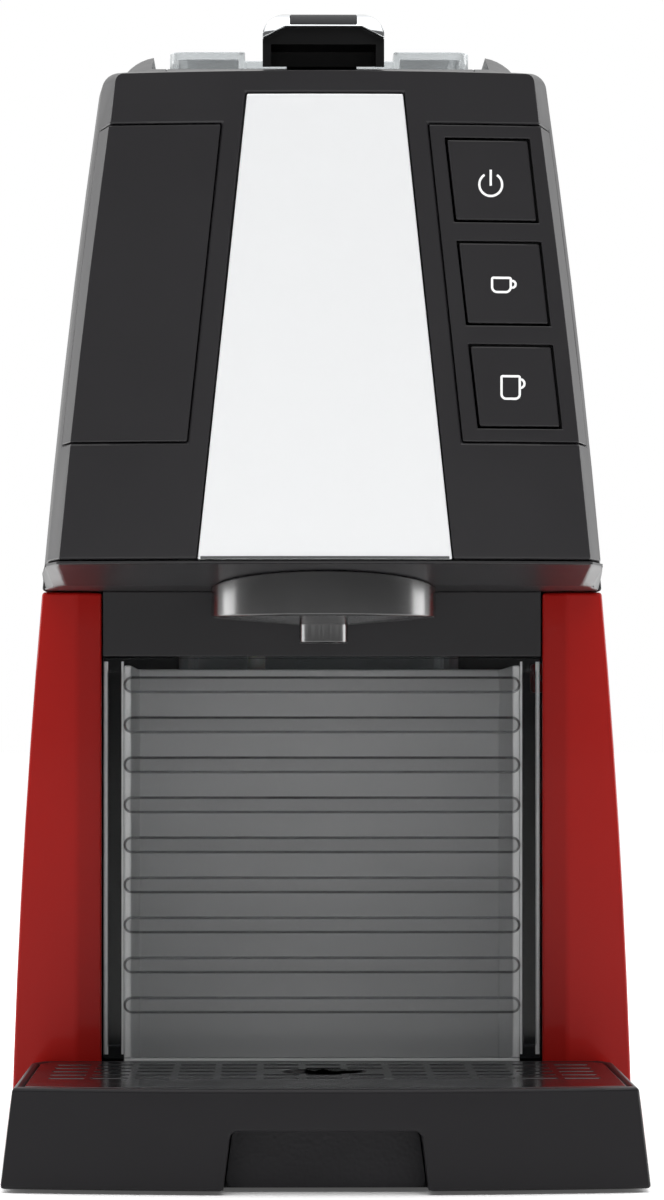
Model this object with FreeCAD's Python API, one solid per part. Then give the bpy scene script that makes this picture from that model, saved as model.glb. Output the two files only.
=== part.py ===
import FreeCAD, Part
import math
import os

# Pod coffee machine. X to the right, Y to the back, Z up, all in millimetres.
# The origin is on the table, under the middle of the machine.

Vector = FreeCAD.Vector

# Gaps and fits
SEAM = 0.35               # shut line between two fixed mouldings
SLIDE_GAP = 0.6           # room around a piece that travels
SHAFT_GAP = 0.05          # radial running fit of a shaft or pin
CUT_OVER = 2.0            # how far a cutter reaches past what it cuts
FIT_STEPS = 30            # rounds that settle where the front bow meets the side bevel

# Body outline: the side arc goes through three half-widths at three heights
FOOT_HALF = 83.0
FOOT_LEVEL = 26.0
WAIST_HALF = 75.2
WAIST_LEVEL = 153.5
BROW_HALF = 60.6
BROW_LEVEL = 281.0        # top edge of the front face
DECK_RISE = 27.0          # side rims behind the ramp, above the front face
CHANNEL_DROP = 4.0        # flat top between the side rims, below them
RIM_INNER = 47.4          # half-width between the side rims
HEAD_BOTTOM = 152.7
HEAD_FRONT = -141.0       # middle of the bowed front face
BOW_RADIUS = 375.0        # bow of the front face in plan
EDGE_BACK = 22.0          # front face middle to the crisp side edge
COLUMN_FRONT = -60.0      # front plane of the two side columns
RIM_START = -5.0          # the side rims rise out of the ramp from here
RAMP_END = 25.0
REAR = 170.0
EDGE_INSET = 3.6          # the sides draw in this much from column to crisp edge
BEVEL_SLOPE = 0.225       # further draw-in per length along the front bevel
BROW_RADIUS = 1.4         # shoulder radius at the front
EDGE_RADIUS = 4.5         # shoulder radius at the crisp side edge
DECK_RADIUS = 13.0        # shoulder radius at the back
DECK_CROWN = 0.8
WALL = 3.0                # casing wall
SKIN = 1.6                # thickness of panels let into the casing
UNDERCAP = 5.3            # height of the moulding under the head
UNDERCAP_BEVEL = 1.0
UNDERCAP_RAKE = 30.0      # the underside slopes down over this depth
UNDERCAP_LIP = 0.8        # upright front edge above that slope

# Side columns and base
FOOT_HEIGHT = 4.0
FOOT_RADIUS = 8.0
FOOT_SIDE = 66.0
FOOT_FRONT = -44.0
FOOT_REAR_INSET = 16.0
BASE_PLATE = 2.5
PANEL_WALL = 2.5
CREASE_HALF = 66.0        # fold line on the front of each column
BAY_HALF = 59.5           # half-width between the two columns
STRIP_DEPTH = 4.0         # the inner strip of a column falls back this far
COVER = 3.0               # rear cover thickness
VENT_COUNT = 6
VENT_PITCH = 7.0
VENT_HEIGHT = 3.0
VENT_HALF = 30.0
VENT_BOTTOM = 60.0
INLET_X = 40.0
INLET_WIDTH = 28.0
INLET_HEIGHT = 21.0
INLET_BOTTOM = 20.0
INLET_DEPTH = 18.0
INLET_WALL = 2.0
INLET_PIN = 2.0
INLET_PIN_PITCH = 7.0
LUG = 9.0                 # screw lugs on the inside of the casing
LUG_LEVELS = (34.0, 132.0, 258.0)
RUNNER_LEDGE = 5.0
RUNNER_WALL = 2.0

# Panels let into the front
TRIM_MARGIN = 5.0         # top of the front face to the centre trim
TRIM_TOP_HALF = 19.7
TRIM_BOTTOM_HALF = 32.2
INSERT_MARGIN = 12.7      # top of the front face to the inserts
INSERT_HEIGHT = 80.1
INSERT_TOP_INNER = 26.4
INSERT_LEAN = 0.107       # lean of the inner insert edge
INSERT_BACK = 17.0        # inserts wrap this far behind the front face middle

# Buttons
BUTTON_WIDTH = 20.4
BUTTON_HEIGHT = 20.2
BUTTON_LEAN = 0.1143
BUTTON_PITCH = 26.1
BUTTON_TOP_X = 42.3
BUTTON_MARGIN = 13.9      # insert top to the middle of the top button
BUTTON_TRAVEL = 1.5
BUTTON_FLANGE = 1.4       # thickness of the retaining flange
BUTTON_LIP = 0.7          # the flange reaches this far past the opening
BUTTON_DEPTH = 10.0
BOARD = 1.6
BOARD_POST = 3.0
STEM_RADIUS = 2.5
SWITCH_SIZE = 6.0
SWITCH_HEIGHT = 4.0

# Spout
SPOUT_Y = -103.0
SPOUT_RADIUS = 29.3
SPOUT_DROP = 8.3          # the cylinder hangs this far below the head
SPOUT_CONE = 1.8
SPOUT_WALL = 2.4
NOZZLE_RADIUS = 6.4
NOZZLE_COLLAR = 1.0
NOZZLE_DROP = 6.6         # the nozzle hangs this far below the cylinder
NOZZLE_BORE = 3.0

# Drawer: drip tray in front, pod bin behind
TRAY_FRONT = -170.0
TRAY_BOW = 405.0
TRAY_FLOOR_LEVEL = 1.0
TRAY_TOP = 26.3
TRAY_INSET = 2.0          # the tray is narrower than the body on each side
TRAY_DRAFT = 3.1          # the tray sides lean in this much to the top
TRAY_WALL = 2.6
TRAY_CORNER = 7.0
NOTCH_TOP = 15.8
NOTCH_HALF_TOP = 23.5
NOTCH_HALF_BOTTOM = 25.4
NOTCH_DEPTH = 12.0
NOTCH_RADIUS = 2.0
INSERT_PLATE = 2.0
TONGUE_HALF = 54.0
TONGUE_THICK = 3.0
TONGUE_LEVEL = 9.0
BIN_BACK = 26.0
BIN_HALF = 53.5
BIN_WALL = 2.0
BIN_DROP = 17.9           # top of the bin below the head
BIN_FRONT_PLATE = 2.4
RIB_COUNT = 9
RIB_PITCH = 10.8
RIB_MARGIN = 7.3          # bin top to the middle of the highest rib
RIB_HEIGHT = 3.5
RIB_HALF = 53.0
RIB_PROUD = 1.2
GROOVE_INNER = 54.2
GROOVE_OUTER = 57.8
GROOVE_DEPTH = 1.0

# Drip plate
PLATE_THICK = 2.6
PLATE_FRONT_RIM = 4.6
PLATE_SIDE_RIM = 2.2
PLATE_LEDGE = 3.0
PLATE_SLOT_ROWS = 5
PLATE_SLOT_PITCH = 13.0
PLATE_SLOT_WIDTH = 3.2
PLATE_SLOT_LENGTH = 8.6
PLATE_SLOT_STEP = 11.0
PLATE_SLOT_REACH = 66.0
PLATE_DISH_RADIUS = 10.7
PLATE_DISH_DEPTH = 0.9

# Lever
LEVER_PIVOT_Y = 10.0
LEVER_PIVOT_DROP = 16.0   # shaft axis below the flat top
LEVER_HALF = 15.9
LEVER_FRONT = -100.0
LEVER_BACK = -16.0        # back end of the wide grip
LEVER_SLOPE = 0.1
LEVER_RISE = 21.2         # top of the chrome cap, above the front face
LEVER_RIDE = 0.8          # gap between arm and deck
LEVER_ROOT_HALF = 9.5
LEVER_ROOT_DROP = 4.0     # the root falls this far behind the grip
HOLLOW_DEPTH = 15.0       # finger hollow under the grip
HOLLOW_SIDE = 2.2
CAP_THICK = 3.4           # chrome cap, in the middle
CAP_SHOULDER = 6.5        # chrome cap, at the sides
CAP_FLAT_HALF = 10.0
CAP_OVERHANG = 2.5
CAP_NOSE = 6.0            # rounding of the nose, seen from the side
CAP_TAIL = 3.0
INLAY_THICK = 0.8
INLAY_HALF = 8.6
INLAY_DROP = 2.6          # front edge of the inlay, below the top of the cap
INLAY_BACK = 12.0
LEVER_SWING = 85.0
SHAFT_RADIUS = 4.0
BUSH_RADIUS = 6.0
BUSH_FLANGE = 1.5
CRANK_RADIUS = 25.0
CRANK_INNER = 17.0
CRANK_THICK = 4.0
CRANK_PIN_RADIUS = 3.0
CRANK_PIN_ROOM = 1.0      # slot clearance of the crank pin
LEVER_BOSS = 7.5

# Brew unit
PORT_HALF = 21.5
PORT_FRONT = -55.0
PORT_BACK = -15.0
FLAP_ROOM = 1.4           # extra room behind the flap for its swing
CHUTE_WALL = 1.2
CHUTE_DEPTH = 41.0        # chute below the flat top
CAGE_DROP = 66.0          # pod axis below the flat top
CAGE_RADIUS = 22.0
CAGE_BORE = 19.0
CAGE_FRONT = -48.0
CAGE_LENGTH = 28.0
CAGE_FLOOR = 5.0
OUTLET_RADIUS = 5.0
OUTLET_REACH = 13.0
OUTLET_DROP = 30.0
GASKET_THICK = 1.2
INJECTOR_GAP = 0.8
INJECTOR_THICK = 9.0
SEAL_THICK = 1.5
NEEDLE_COUNT = 3
NEEDLE_RADIUS = 0.9
NEEDLE_RING = 7.0
NEEDLE_LENGTH = 5.0
YOKE_INNER = 24.4
YOKE_THICK = 3.0
YOKE_HEIGHT = 12.0
YOKE_HEAD = 13.0          # half-length of the slotted yoke head
FRAME_INNER = 30.0
FRAME_THICK = 2.5
FRAME_FRONT = -50.0
FRAME_BACK = 38.0
FRAME_FLANGE = 8.0
FUNNEL_HALF = 26.0
FUNNEL_HEIGHT = 16.0
FUNNEL_WALL = 2.0
DROP_HALF = 26.0

# Water tank
TANK_FRONT = 48.0
TANK_REAR_ROOM = 10.0
TANK_HALF = 41.0
TANK_BOTTOM = 112.0
TANK_WALL = 2.2
TANK_CORNER = 10.0
WELL_GAP = 1.2
LID_FRONT = 31.0
LID_HALF = 43.0
LID_NOTCH_HALF = 21.3
LID_NOTCH_BACK = 50.0
LID_HEIGHT = 5.9
LID_WALL = 1.8
LID_CORNER = 5.0
LID_HINGE_RADIUS = 1.6
DOCK_PLATE = 4.0
DOCK_LEG = 2.5
VALVE_RADIUS = 8.0
VALVE_HEIGHT = 10.0
SOCKET_WALL = 2.0
SOCKET_DEPTH = 9.0
VALVE_INSET = 35.0        # tank back to the valve
VALVE_X = 8.0
EAR_INNER = 20.0
EAR_THICK = 4.0
KNUCKLE_RADIUS = 3.2

# Inner works
HOSE_RADIUS = 2.5
HOSE_BEND = 4.4
PUMP_X = -18.0
PUMP_REAR_ROOM = 120.0
PUMP_AXIS = 40.0
COIL_HALF = 19.0
COIL_LENGTH = 32.0
PUMP_RADIUS = 14.0
PUMP_LENGTH = 74.0
PUMP_NECK = 10.0
MOUNT_HALF = 10.0
MOUNT_LENGTH = 14.0
METER_REAR_ROOM = 27.0
METER_RADIUS = 10.0
METER_HEIGHT = 18.0
HOSE_LEVEL = 70.0
HEATER_HALF = 28.0
HEATER_FRONT = 3.0
HEATER_DEPTH = 28.0
HEATER_HEIGHT = 40.0
HEATER_RIB = 2.0
THERMOSTAT_RADIUS = 6.0
THERMOSTAT_HEIGHT = 5.0
BOARD_INSET = 17.0        # tank side to the power board
BOARD_REAR = 118.0
BOARD_LENGTH = 62.0
BOARD_HEIGHT = 70.0
SWITCH_LENGTH = 20.0
SWITCH_TALL = 10.0
SWITCH_DEEP = 6.0
SCREW_RADIUS = 1.6
SCREW_HEAD = 3.0
SCREW_SINK = 1.6
SCREW_PLACES = (-30.0, 26.0)

# Levels and places that follow from the sizes above
DECK_LEVEL = BROW_LEVEL + DECK_RISE
CHANNEL_LEVEL = DECK_LEVEL - CHANNEL_DROP
TRIM_TOP = BROW_LEVEL - TRIM_MARGIN
INSERT_TOP = BROW_LEVEL - INSERT_MARGIN
INSERT_BOTTOM = INSERT_TOP - INSERT_HEIGHT
BUTTON_TOP_Z = INSERT_TOP - BUTTON_MARGIN
SPOUT_BOTTOM = HEAD_BOTTOM - SPOUT_DROP
NOZZLE_TIP = SPOUT_BOTTOM - NOZZLE_DROP
TRAY_HALF_BOTTOM = FOOT_HALF - TRAY_INSET
TRAY_HALF_TOP = TRAY_HALF_BOTTOM - TRAY_DRAFT
BIN_TOP = HEAD_BOTTOM - BIN_DROP
RIB_TOP = BIN_TOP - RIB_MARGIN
LEVER_TOP = BROW_LEVEL + LEVER_RISE
CHUTE_BOTTOM = CHANNEL_LEVEL - CHUTE_DEPTH
CAGE_AXIS = CHANNEL_LEVEL - CAGE_DROP
FOOT_REAR = REAR - FOOT_REAR_INSET
TANK_BACK = REAR - TANK_REAR_ROOM
VALVE_Y = TANK_BACK - VALVE_INSET
METER_Y = REAR - METER_REAR_ROOM
PUMP_Y = REAR - PUMP_REAR_ROOM
BOARD_X = TANK_HALF - BOARD_INSET


def box(x0, x1, y0, y1, z0, z1):
    """Box between two corners."""
    return Part.makeBox(x1 - x0, y1 - y0, z1 - z0, Vector(x0, y0, z0))


def rod(start, direction, radius, length):
    """Cylinder from a point along a direction."""
    return Part.makeCylinder(radius, length, Vector(*start), Vector(*direction))


def join(first, *others):
    """One solid from touching or overlapping shapes."""
    return first.multiFuse(list(others)).removeSplitter()


def mirrored(shape):
    """The same shape on the other side of the middle plane."""
    return shape.mirror(Vector(0, 0, 0), Vector(1, 0, 0))


def corner_arc(before, corner, after, radius):
    """Start, middle and end of the arc that rounds one corner of a flat outline."""
    to_before = Vector(*before).sub(Vector(*corner))
    to_after = Vector(*after).sub(Vector(*corner))
    half = to_before.getAngle(to_after) / 2
    to_before.normalize()
    to_after.normalize()
    tangent = radius / math.tan(half)
    start = Vector(*corner).add(Vector(to_before).multiply(tangent))
    end = Vector(*corner).add(Vector(to_after).multiply(tangent))
    inward = to_before.add(to_after)
    inward.normalize()
    middle = Vector(*corner).add(inward.multiply(radius / math.sin(half) - radius))
    return start, middle, end


def outline(points, radius=0.0):
    """Closed wire through points, every corner rounded by the same radius."""
    if radius <= 0:
        return Part.makePolygon([Vector(*p) for p in points] + [Vector(*points[0])])
    count = len(points)
    arcs = [corner_arc(points[i - 1], points[i], points[(i + 1) % count], radius) for i in range(count)]
    edges = []
    for i in range(count):
        start, middle, end = arcs[i]
        edges.append(Part.Arc(start, middle, end).toShape())
        following = arcs[(i + 1) % count][0]
        if end.distanceToPoint(following) > 1e-6:
            edges.append(Part.LineSegment(end, following).toShape())
    return Part.Wire(edges)


def prism_y(points, y0, y1, radius=0.0):
    """Outline given as (x, z), extruded from y0 to y1."""
    wire = outline([(x, y0, z) for x, z in points], radius)
    return Part.Face(wire).extrude(Vector(0, y1 - y0, 0))


def prism_z(points, z0, z1, radius=0.0):
    """Outline given as (x, y), extruded from z0 to z1."""
    wire = outline([(x, y, z0) for x, y in points], radius)
    return Part.Face(wire).extrude(Vector(0, 0, z1 - z0))


def prism_x(points, x0, x1, radius=0.0):
    """Outline given as (y, z), extruded from x0 to x1."""
    wire = outline([(x0, y, z) for y, z in points], radius)
    return Part.Face(wire).extrude(Vector(x1 - x0, 0, 0))


def rectangle(u0, u1, v0, v1):
    """Corner points of a rectangle."""
    return [(u0, v0), (u1, v0), (u1, v1), (u0, v1)]


def tube(points, radius, bend):
    """Round tube along straight runs joined by tangent arcs."""
    edges = []
    at = Vector(*points[0])
    for before, corner, after in zip(points, points[1:], points[2:]):
        start, middle, end = corner_arc(before, corner, after, bend)
        edges.append(Part.LineSegment(at, start).toShape())
        edges.append(Part.Arc(start, middle, end).toShape())
        at = end
    edges.append(Part.LineSegment(at, Vector(*points[-1])).toShape())
    path = Part.Wire(edges)
    run = Vector(*points[1]).sub(Vector(*points[0]))
    ring = Part.Wire(Part.makeCircle(radius, Vector(*points[0]), run))
    return path.makePipeShell([ring], True, True)


def side_circle():
    """Centre and radius of the side arc, in the (half-width, height) plane."""
    circle = Part.Circle(Vector(FOOT_HALF, FOOT_LEVEL, 0), Vector(WAIST_HALF, WAIST_LEVEL, 0),
                         Vector(BROW_HALF, BROW_LEVEL, 0))
    return circle.Center.x, circle.Center.y, circle.Radius


ARC_X, ARC_Z, ARC_RADIUS = side_circle()
RAMP_SLOPE = (CHANNEL_LEVEL - BROW_LEVEL) / (RAMP_END - HEAD_FRONT)
EDGE_Y = HEAD_FRONT + EDGE_BACK
CASE_BACK = REAR - COVER - SEAM
PANEL_BOTTOM = FOOT_HEIGHT + BASE_PLATE
PANEL_TOP = HEAD_BOTTOM - SEAM
UNDERCAP_TOP = HEAD_BOTTOM + UNDERCAP
SHELL_BOTTOM = UNDERCAP_TOP + SEAM
FLOOR_TOP = UNDERCAP_TOP


def half_width(z):
    """Half-width of the body at a height, on the side arc."""
    side = math.copysign(1.0, WAIST_HALF - ARC_X)
    return ARC_X + side * math.sqrt(ARC_RADIUS ** 2 - (z - ARC_Z) ** 2)


def draw_in(y):
    """How much narrower the body is at a depth than at the column plane."""
    if y >= COLUMN_FRONT:
        return 0.0
    if y >= EDGE_Y:
        return EDGE_INSET * (COLUMN_FRONT - y) / (COLUMN_FRONT - EDGE_Y)
    return EDGE_INSET + BEVEL_SLOPE * (EDGE_Y - y)


def ramp_level(y):
    """Height of the ramp, and of the flat top behind it, at a depth."""
    return min(CHANNEL_LEVEL, BROW_LEVEL + RAMP_SLOPE * (y - HEAD_FRONT))


def rim_level(y):
    """Height of the side rims at a depth; they leave the ramp where they start."""
    start = ramp_level(RIM_START)
    share = min(1.0, (y - RIM_START) / (RAMP_END - RIM_START))
    return ramp_level(y) if share < 0 else start + (DECK_LEVEL - start) * share


def shoulder(y):
    """Shoulder radius at a depth: tight at the brow, wider at the crisp edge, widest on the flat top."""
    if y < EDGE_Y:
        share = (y - HEAD_FRONT + CUT_OVER) / (EDGE_BACK + CUT_OVER)
        return BROW_RADIUS + (EDGE_RADIUS - BROW_RADIUS) * share
    share = min(1.0, (y - EDGE_Y) / (RAMP_END - EDGE_Y))
    return EDGE_RADIUS + (DECK_RADIUS - EDGE_RADIUS) * share


def body_section(y, bottom, shrink, level):
    """Closed outline of the body at a depth, with arched sides, shoulders and a crowned top."""
    top = level(y) - shrink

    def side(z):
        return Vector(half_width(z) - draw_in(y) - shrink, y, z)

    def flip(point):
        return Vector(-point.x, point.y, point.z)

    radius = max(shoulder(y) - shrink, BROW_RADIUS / 2)
    corner = side(top)
    low = side((bottom + top) / 2)
    start, middle, end = corner_arc(low, corner, Vector(0, y, top), radius)
    start = side(start.z)
    waist = side((bottom + start.z) / 2)
    foot = side(bottom)
    edges = [Part.LineSegment(flip(foot), foot).toShape(),
             Part.Arc(foot, waist, start).toShape(),
             Part.Arc(start, middle, end).toShape(),
             Part.Arc(end, Vector(0, y, top + DECK_CROWN), flip(end)).toShape(),
             Part.Arc(flip(end), flip(middle), flip(start)).toShape(),
             Part.Arc(flip(start), flip(waist), flip(foot)).toShape()]
    return Part.Wire(edges)


def front_bow(shrink):
    """Tall cylinder whose front is the bowed front face, set back by shrink."""
    axis = Vector(0, HEAD_FRONT + BOW_RADIUS, 0)
    return Part.makeCylinder(BOW_RADIUS - shrink, 2 * DECK_LEVEL, axis, Vector(0, 0, 1))


def head_form(shrink, level):
    """Form of the head under a top of the given level, inset by shrink."""
    over = CUT_OVER if shrink > 0 else 0.0
    depths = [HEAD_FRONT - CUT_OVER, EDGE_Y, COLUMN_FRONT, RIM_START, RAMP_END, CASE_BACK + over]
    sections = [body_section(y, HEAD_BOTTOM - over, shrink, level) for y in depths]
    return Part.makeLoft(sections, True, True).common(front_bow(shrink))


FAR = 2 * FOOT_HALF       # past either side of the body
HIGH = 2 * DECK_LEVEL     # above everything
CHANNEL = prism_x([(RIM_START, ramp_level(RIM_START) + DECK_CROWN), (RAMP_END, CHANNEL_LEVEL),
                   (REAR, CHANNEL_LEVEL), (REAR, HIGH), (RIM_START, HIGH)], -RIM_INNER, RIM_INNER)
HEAD_OUTER = head_form(0.0, rim_level)
HEAD_INNER = head_form(WALL, ramp_level)
HEAD_CLEAR = head_form(WALL + SHAFT_GAP, ramp_level)
HEAD_WALL = HEAD_OUTER.cut(HEAD_INNER).cut(CHANNEL)
SKIN_LAYER = HEAD_OUTER.cut(head_form(SKIN, rim_level))
POCKET_LAYER = HEAD_OUTER.cut(head_form(SKIN + SHAFT_GAP, rim_level))


def trim_outline(grow):
    """Tapered outline of the silver centre panel, as (x, z)."""
    low = SHELL_BOTTOM - CUT_OVER
    lean = (TRIM_BOTTOM_HALF - TRIM_TOP_HALF) / (TRIM_TOP - SHELL_BOTTOM)
    top = TRIM_TOP_HALF + grow
    bottom = TRIM_TOP_HALF + lean * (TRIM_TOP - low) + grow
    return [(-bottom, low), (bottom, low), (top, TRIM_TOP + grow), (-top, TRIM_TOP + grow)]


def insert_outline(grow):
    """Outline of the right-hand insert, as (x, z), open-ended at the side."""
    low = INSERT_BOTTOM - grow
    high = INSERT_TOP + grow
    inner_top = INSERT_TOP_INNER - grow
    inner_bottom = inner_top + INSERT_LEAN * (high - low)
    return [(inner_bottom, low), (FAR, low), (FAR, high), (inner_top, high)]


def insert_prism(grow):
    """Block that picks the right-hand insert out of the casing skin."""
    back = HEAD_FRONT + INSERT_BACK + grow
    return prism_y(insert_outline(grow), HEAD_FRONT - CUT_OVER, back)


def button_outline(index, grow):
    """Leaning outline of one push button, as (x, z)."""
    mid_z = BUTTON_TOP_Z - index * BUTTON_PITCH
    mid_x = BUTTON_TOP_X + index * BUTTON_PITCH * BUTTON_LEAN
    rise = BUTTON_HEIGHT / 2 + grow
    half = BUTTON_WIDTH / 2 + grow
    lean = rise * BUTTON_LEAN
    return [(mid_x - half + lean, mid_z - rise), (mid_x + half + lean, mid_z - rise),
            (mid_x + half - lean, mid_z + rise), (mid_x - half - lean, mid_z + rise)]


def deck_outline(grow):
    """Outline of the top cover in plan, as (x, y)."""
    return rectangle(-LID_HALF - grow, LID_HALF + grow, LEVER_FRONT - grow, LID_FRONT - CUT_OVER + grow)


def port_outline(grow):
    """Outline of the pod port in plan, as (x, y)."""
    return rectangle(-PORT_HALF - grow, PORT_HALF + grow, PORT_FRONT - grow, PORT_BACK + grow)


def lever_slot():
    """Slot in the top cover for the root of the lever."""
    half = LEVER_ROOT_HALF + SLIDE_GAP
    back = LID_FRONT - CUT_OVER - WALL
    return prism_z(rectangle(-half, half, PORT_BACK - CUT_OVER, back), HEAD_BOTTOM, HIGH)


def tank_well(grow):
    """Upright block around the water tank."""
    return prism_z(rectangle(-TANK_HALF - grow, TANK_HALF + grow, TANK_FRONT - grow, TANK_BACK + grow),
                   HEAD_BOTTOM, HIGH, TANK_CORNER)


def make_casing():
    """Head casing with the panels let into it."""
    wall = HEAD_WALL.cut(box(-FAR, FAR, HEAD_FRONT - CUT_OVER, COLUMN_FRONT, 0, SHELL_BOTTOM))
    cover = wall.common(prism_z(deck_outline(0.0), BROW_LEVEL - CUT_OVER, HIGH))
    cover = cover.cut(prism_z(port_outline(SLIDE_GAP), 0, HIGH)).cut(lever_slot())
    shell = wall.cut(prism_z(deck_outline(SEAM), BROW_LEVEL - CUT_OVER, HIGH))
    shell = shell.cut(tank_well(WELL_GAP))
    front = HEAD_FRONT - CUT_OVER
    trim_block = prism_y(trim_outline(0.0), front, COLUMN_FRONT)
    trim = SKIN_LAYER.common(trim_block).common(box(-FAR, FAR, front, EDGE_Y, SHELL_BOTTOM, DECK_LEVEL))
    shell = shell.cut(POCKET_LAYER.common(prism_y(trim_outline(SEAM), front, EDGE_Y)))
    insert = SKIN_LAYER.common(insert_prism(0.0))
    pocket = POCKET_LAYER.common(insert_prism(SEAM))
    shell = shell.cut(pocket).cut(mirrored(pocket))
    button_panel = insert
    for index in range(3):
        hole = prism_y(button_outline(index, SLIDE_GAP), front, EDGE_Y)
        shell = shell.cut(hole)
        button_panel = button_panel.cut(hole)
    return {"head_shell": shell, "top_cover": cover, "centre_trim": trim,
            "blank_panel": mirrored(insert), "button_panel": button_panel}


def bow_y(x):
    """Depth of the bowed front face at a distance from the middle."""
    return HEAD_FRONT + BOW_RADIUS - math.sqrt(BOW_RADIUS ** 2 - x ** 2)


FLANGE_Y = bow_y(max(x for x, z in button_outline(2, SLIDE_GAP))) + WALL + SLIDE_GAP
STEM_END = FLANGE_Y + BUTTON_DEPTH
SWITCH_FRONT = STEM_END + BUTTON_TRAVEL + SEAM
BOARD_FRONT = SWITCH_FRONT + SWITCH_HEIGHT
BOARD_INNER = INSERT_TOP_INNER + BOARD_POST
BOARD_MARGIN = BUTTON_HEIGHT / 2 + SLIDE_GAP + BUTTON_LIP + SEAM + 2 * BOARD_POST
BOARD_TOP = BUTTON_TOP_Z + BOARD_MARGIN
BOARD_BOTTOM = BUTTON_TOP_Z - 2 * BUTTON_PITCH - BOARD_MARGIN


def button_middle(index):
    """Middle of one push button, as (x, z)."""
    return BUTTON_TOP_X + index * BUTTON_PITCH * BUTTON_LEAN, BUTTON_TOP_Z - index * BUTTON_PITCH


def make_buttons():
    """Three push buttons with retaining flanges and stems."""
    made = {}
    for index, name in enumerate(["button_power", "button_small_cup", "button_large_cup"]):
        x, z = button_middle(index)
        face = prism_y(button_outline(index, 0.0), HEAD_FRONT - CUT_OVER, FLANGE_Y + BUTTON_FLANGE)
        flange = prism_y(button_outline(index, SLIDE_GAP + BUTTON_LIP), FLANGE_Y, FLANGE_Y + BUTTON_FLANGE)
        stem = rod((x, FLANGE_Y, z), (0, 1, 0), STEM_RADIUS, BUTTON_DEPTH)
        made[name] = join(face.common(front_bow(0.0)), flange, stem)
    return made


def board_posts():
    """Places of the posts that carry the control board, as (x, z)."""
    low = BOARD_BOTTOM + BOARD_POST
    low_button = button_middle(2)[0]
    return [(BOARD_INNER, BOARD_TOP - BOARD_POST), (BOARD_INNER, low), (low_button, low)]


def make_control():
    """Control board behind the buttons and its three switches."""
    right_top = button_middle(0)[0] + BOARD_POST
    right_bottom = button_middle(2)[0] + 2 * BOARD_POST
    shape = [(BOARD_INNER - BOARD_POST, BOARD_BOTTOM), (right_bottom, BOARD_BOTTOM),
             (right_top, BOARD_TOP), (BOARD_INNER - BOARD_POST, BOARD_TOP)]
    board = prism_y(shape, BOARD_FRONT, BOARD_FRONT + BOARD)
    switches = []
    for index in range(3):
        x, z = button_middle(index)
        half = SWITCH_SIZE / 2
        body = box(x - half, x + half, BOARD_FRONT - SWITCH_HEIGHT / 2, BOARD_FRONT, z - half, z + half)
        plunger = rod((x, SWITCH_FRONT, z), (0, 1, 0), STEM_RADIUS / 2, SWITCH_HEIGHT)
        switches.append(join(body, plunger.common(box(-FAR, FAR, HEAD_FRONT, BOARD_FRONT, 0, HIGH))))
    return {"control_board": board, "button_switches": Part.makeCompound(switches)}


def post_solids():
    """Posts on the inside of the front wall, up to the control board."""
    solids = []
    for x, z in board_posts():
        start = bow_y(x) + WALL / 2 + SKIN / 2
        solids.append(rod((x, start, z), (0, 1, 0), BOARD_POST, BOARD_FRONT - start))
    return solids


def undercap_section(z, rake, inset):
    """Plan outline of the moulding under the head: its front set back by rake, its sides in by inset."""
    y = HEAD_FRONT
    for step in range(FIT_STEPS):
        x = half_width(HEAD_BOTTOM) - draw_in(y) - inset
        y = HEAD_FRONT + BOW_RADIUS - math.sqrt(BOW_RADIUS ** 2 - x ** 2)
    front = y + rake
    bend = EDGE_Y + rake
    back = COLUMN_FRONT - SEAM
    edge = half_width(HEAD_BOTTOM) - EDGE_INSET - inset
    rear = half_width(HEAD_BOTTOM) - inset
    points = [Vector(x, front, z), Vector(edge, bend, z), Vector(rear, back, z),
              Vector(-rear, back, z), Vector(-edge, bend, z), Vector(-x, front, z)]
    edges = [Part.LineSegment(a, b).toShape() for a, b in zip(points, points[1:])]
    edges.append(Part.Arc(points[-1], Vector(0, HEAD_FRONT + rake, z), points[0]).toShape())
    return Part.Wire(edges)


FLOOR_BACK = FRAME_BACK + FRAME_FLANGE / 2
DROP_FRONT = COLUMN_FRONT + STRIP_DEPTH + BIN_FRONT_PLATE + 2 * SLIDE_GAP
DROP_BACK = HEATER_FRONT - 2 * SLIDE_GAP
SPIGOT_RADIUS = NOZZLE_RADIUS


def undercap_block():
    """Front of the moulding under the head, with its sloping underside."""
    return Part.makeLoft([undercap_section(HEAD_BOTTOM, UNDERCAP_RAKE, UNDERCAP_BEVEL),
                          undercap_section(UNDERCAP_TOP - UNDERCAP_LIP, 0.0, 0.0),
                          undercap_section(UNDERCAP_TOP, 0.0, 0.0)], True, True)


def make_undercap():
    """Moulding under the head: sloping cap in front, inner floor behind."""
    half = half_width(UNDERCAP_TOP) - WALL - SEAM
    floor = box(-half, half, COLUMN_FRONT - CUT_OVER, FLOOR_BACK, HEAD_BOTTOM, UNDERCAP_TOP)
    hole = rod((0, SPOUT_Y, HEAD_BOTTOM - CUT_OVER), (0, 0, 1), SPIGOT_RADIUS + SEAM, UNDERCAP + 2 * CUT_OVER)
    drop = box(-DROP_HALF, DROP_HALF, DROP_FRONT, DROP_BACK, HEAD_BOTTOM - CUT_OVER, UNDERCAP_TOP + CUT_OVER)
    return {"underside_cap": join(undercap_block(), floor).cut(hole).cut(drop)}


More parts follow.
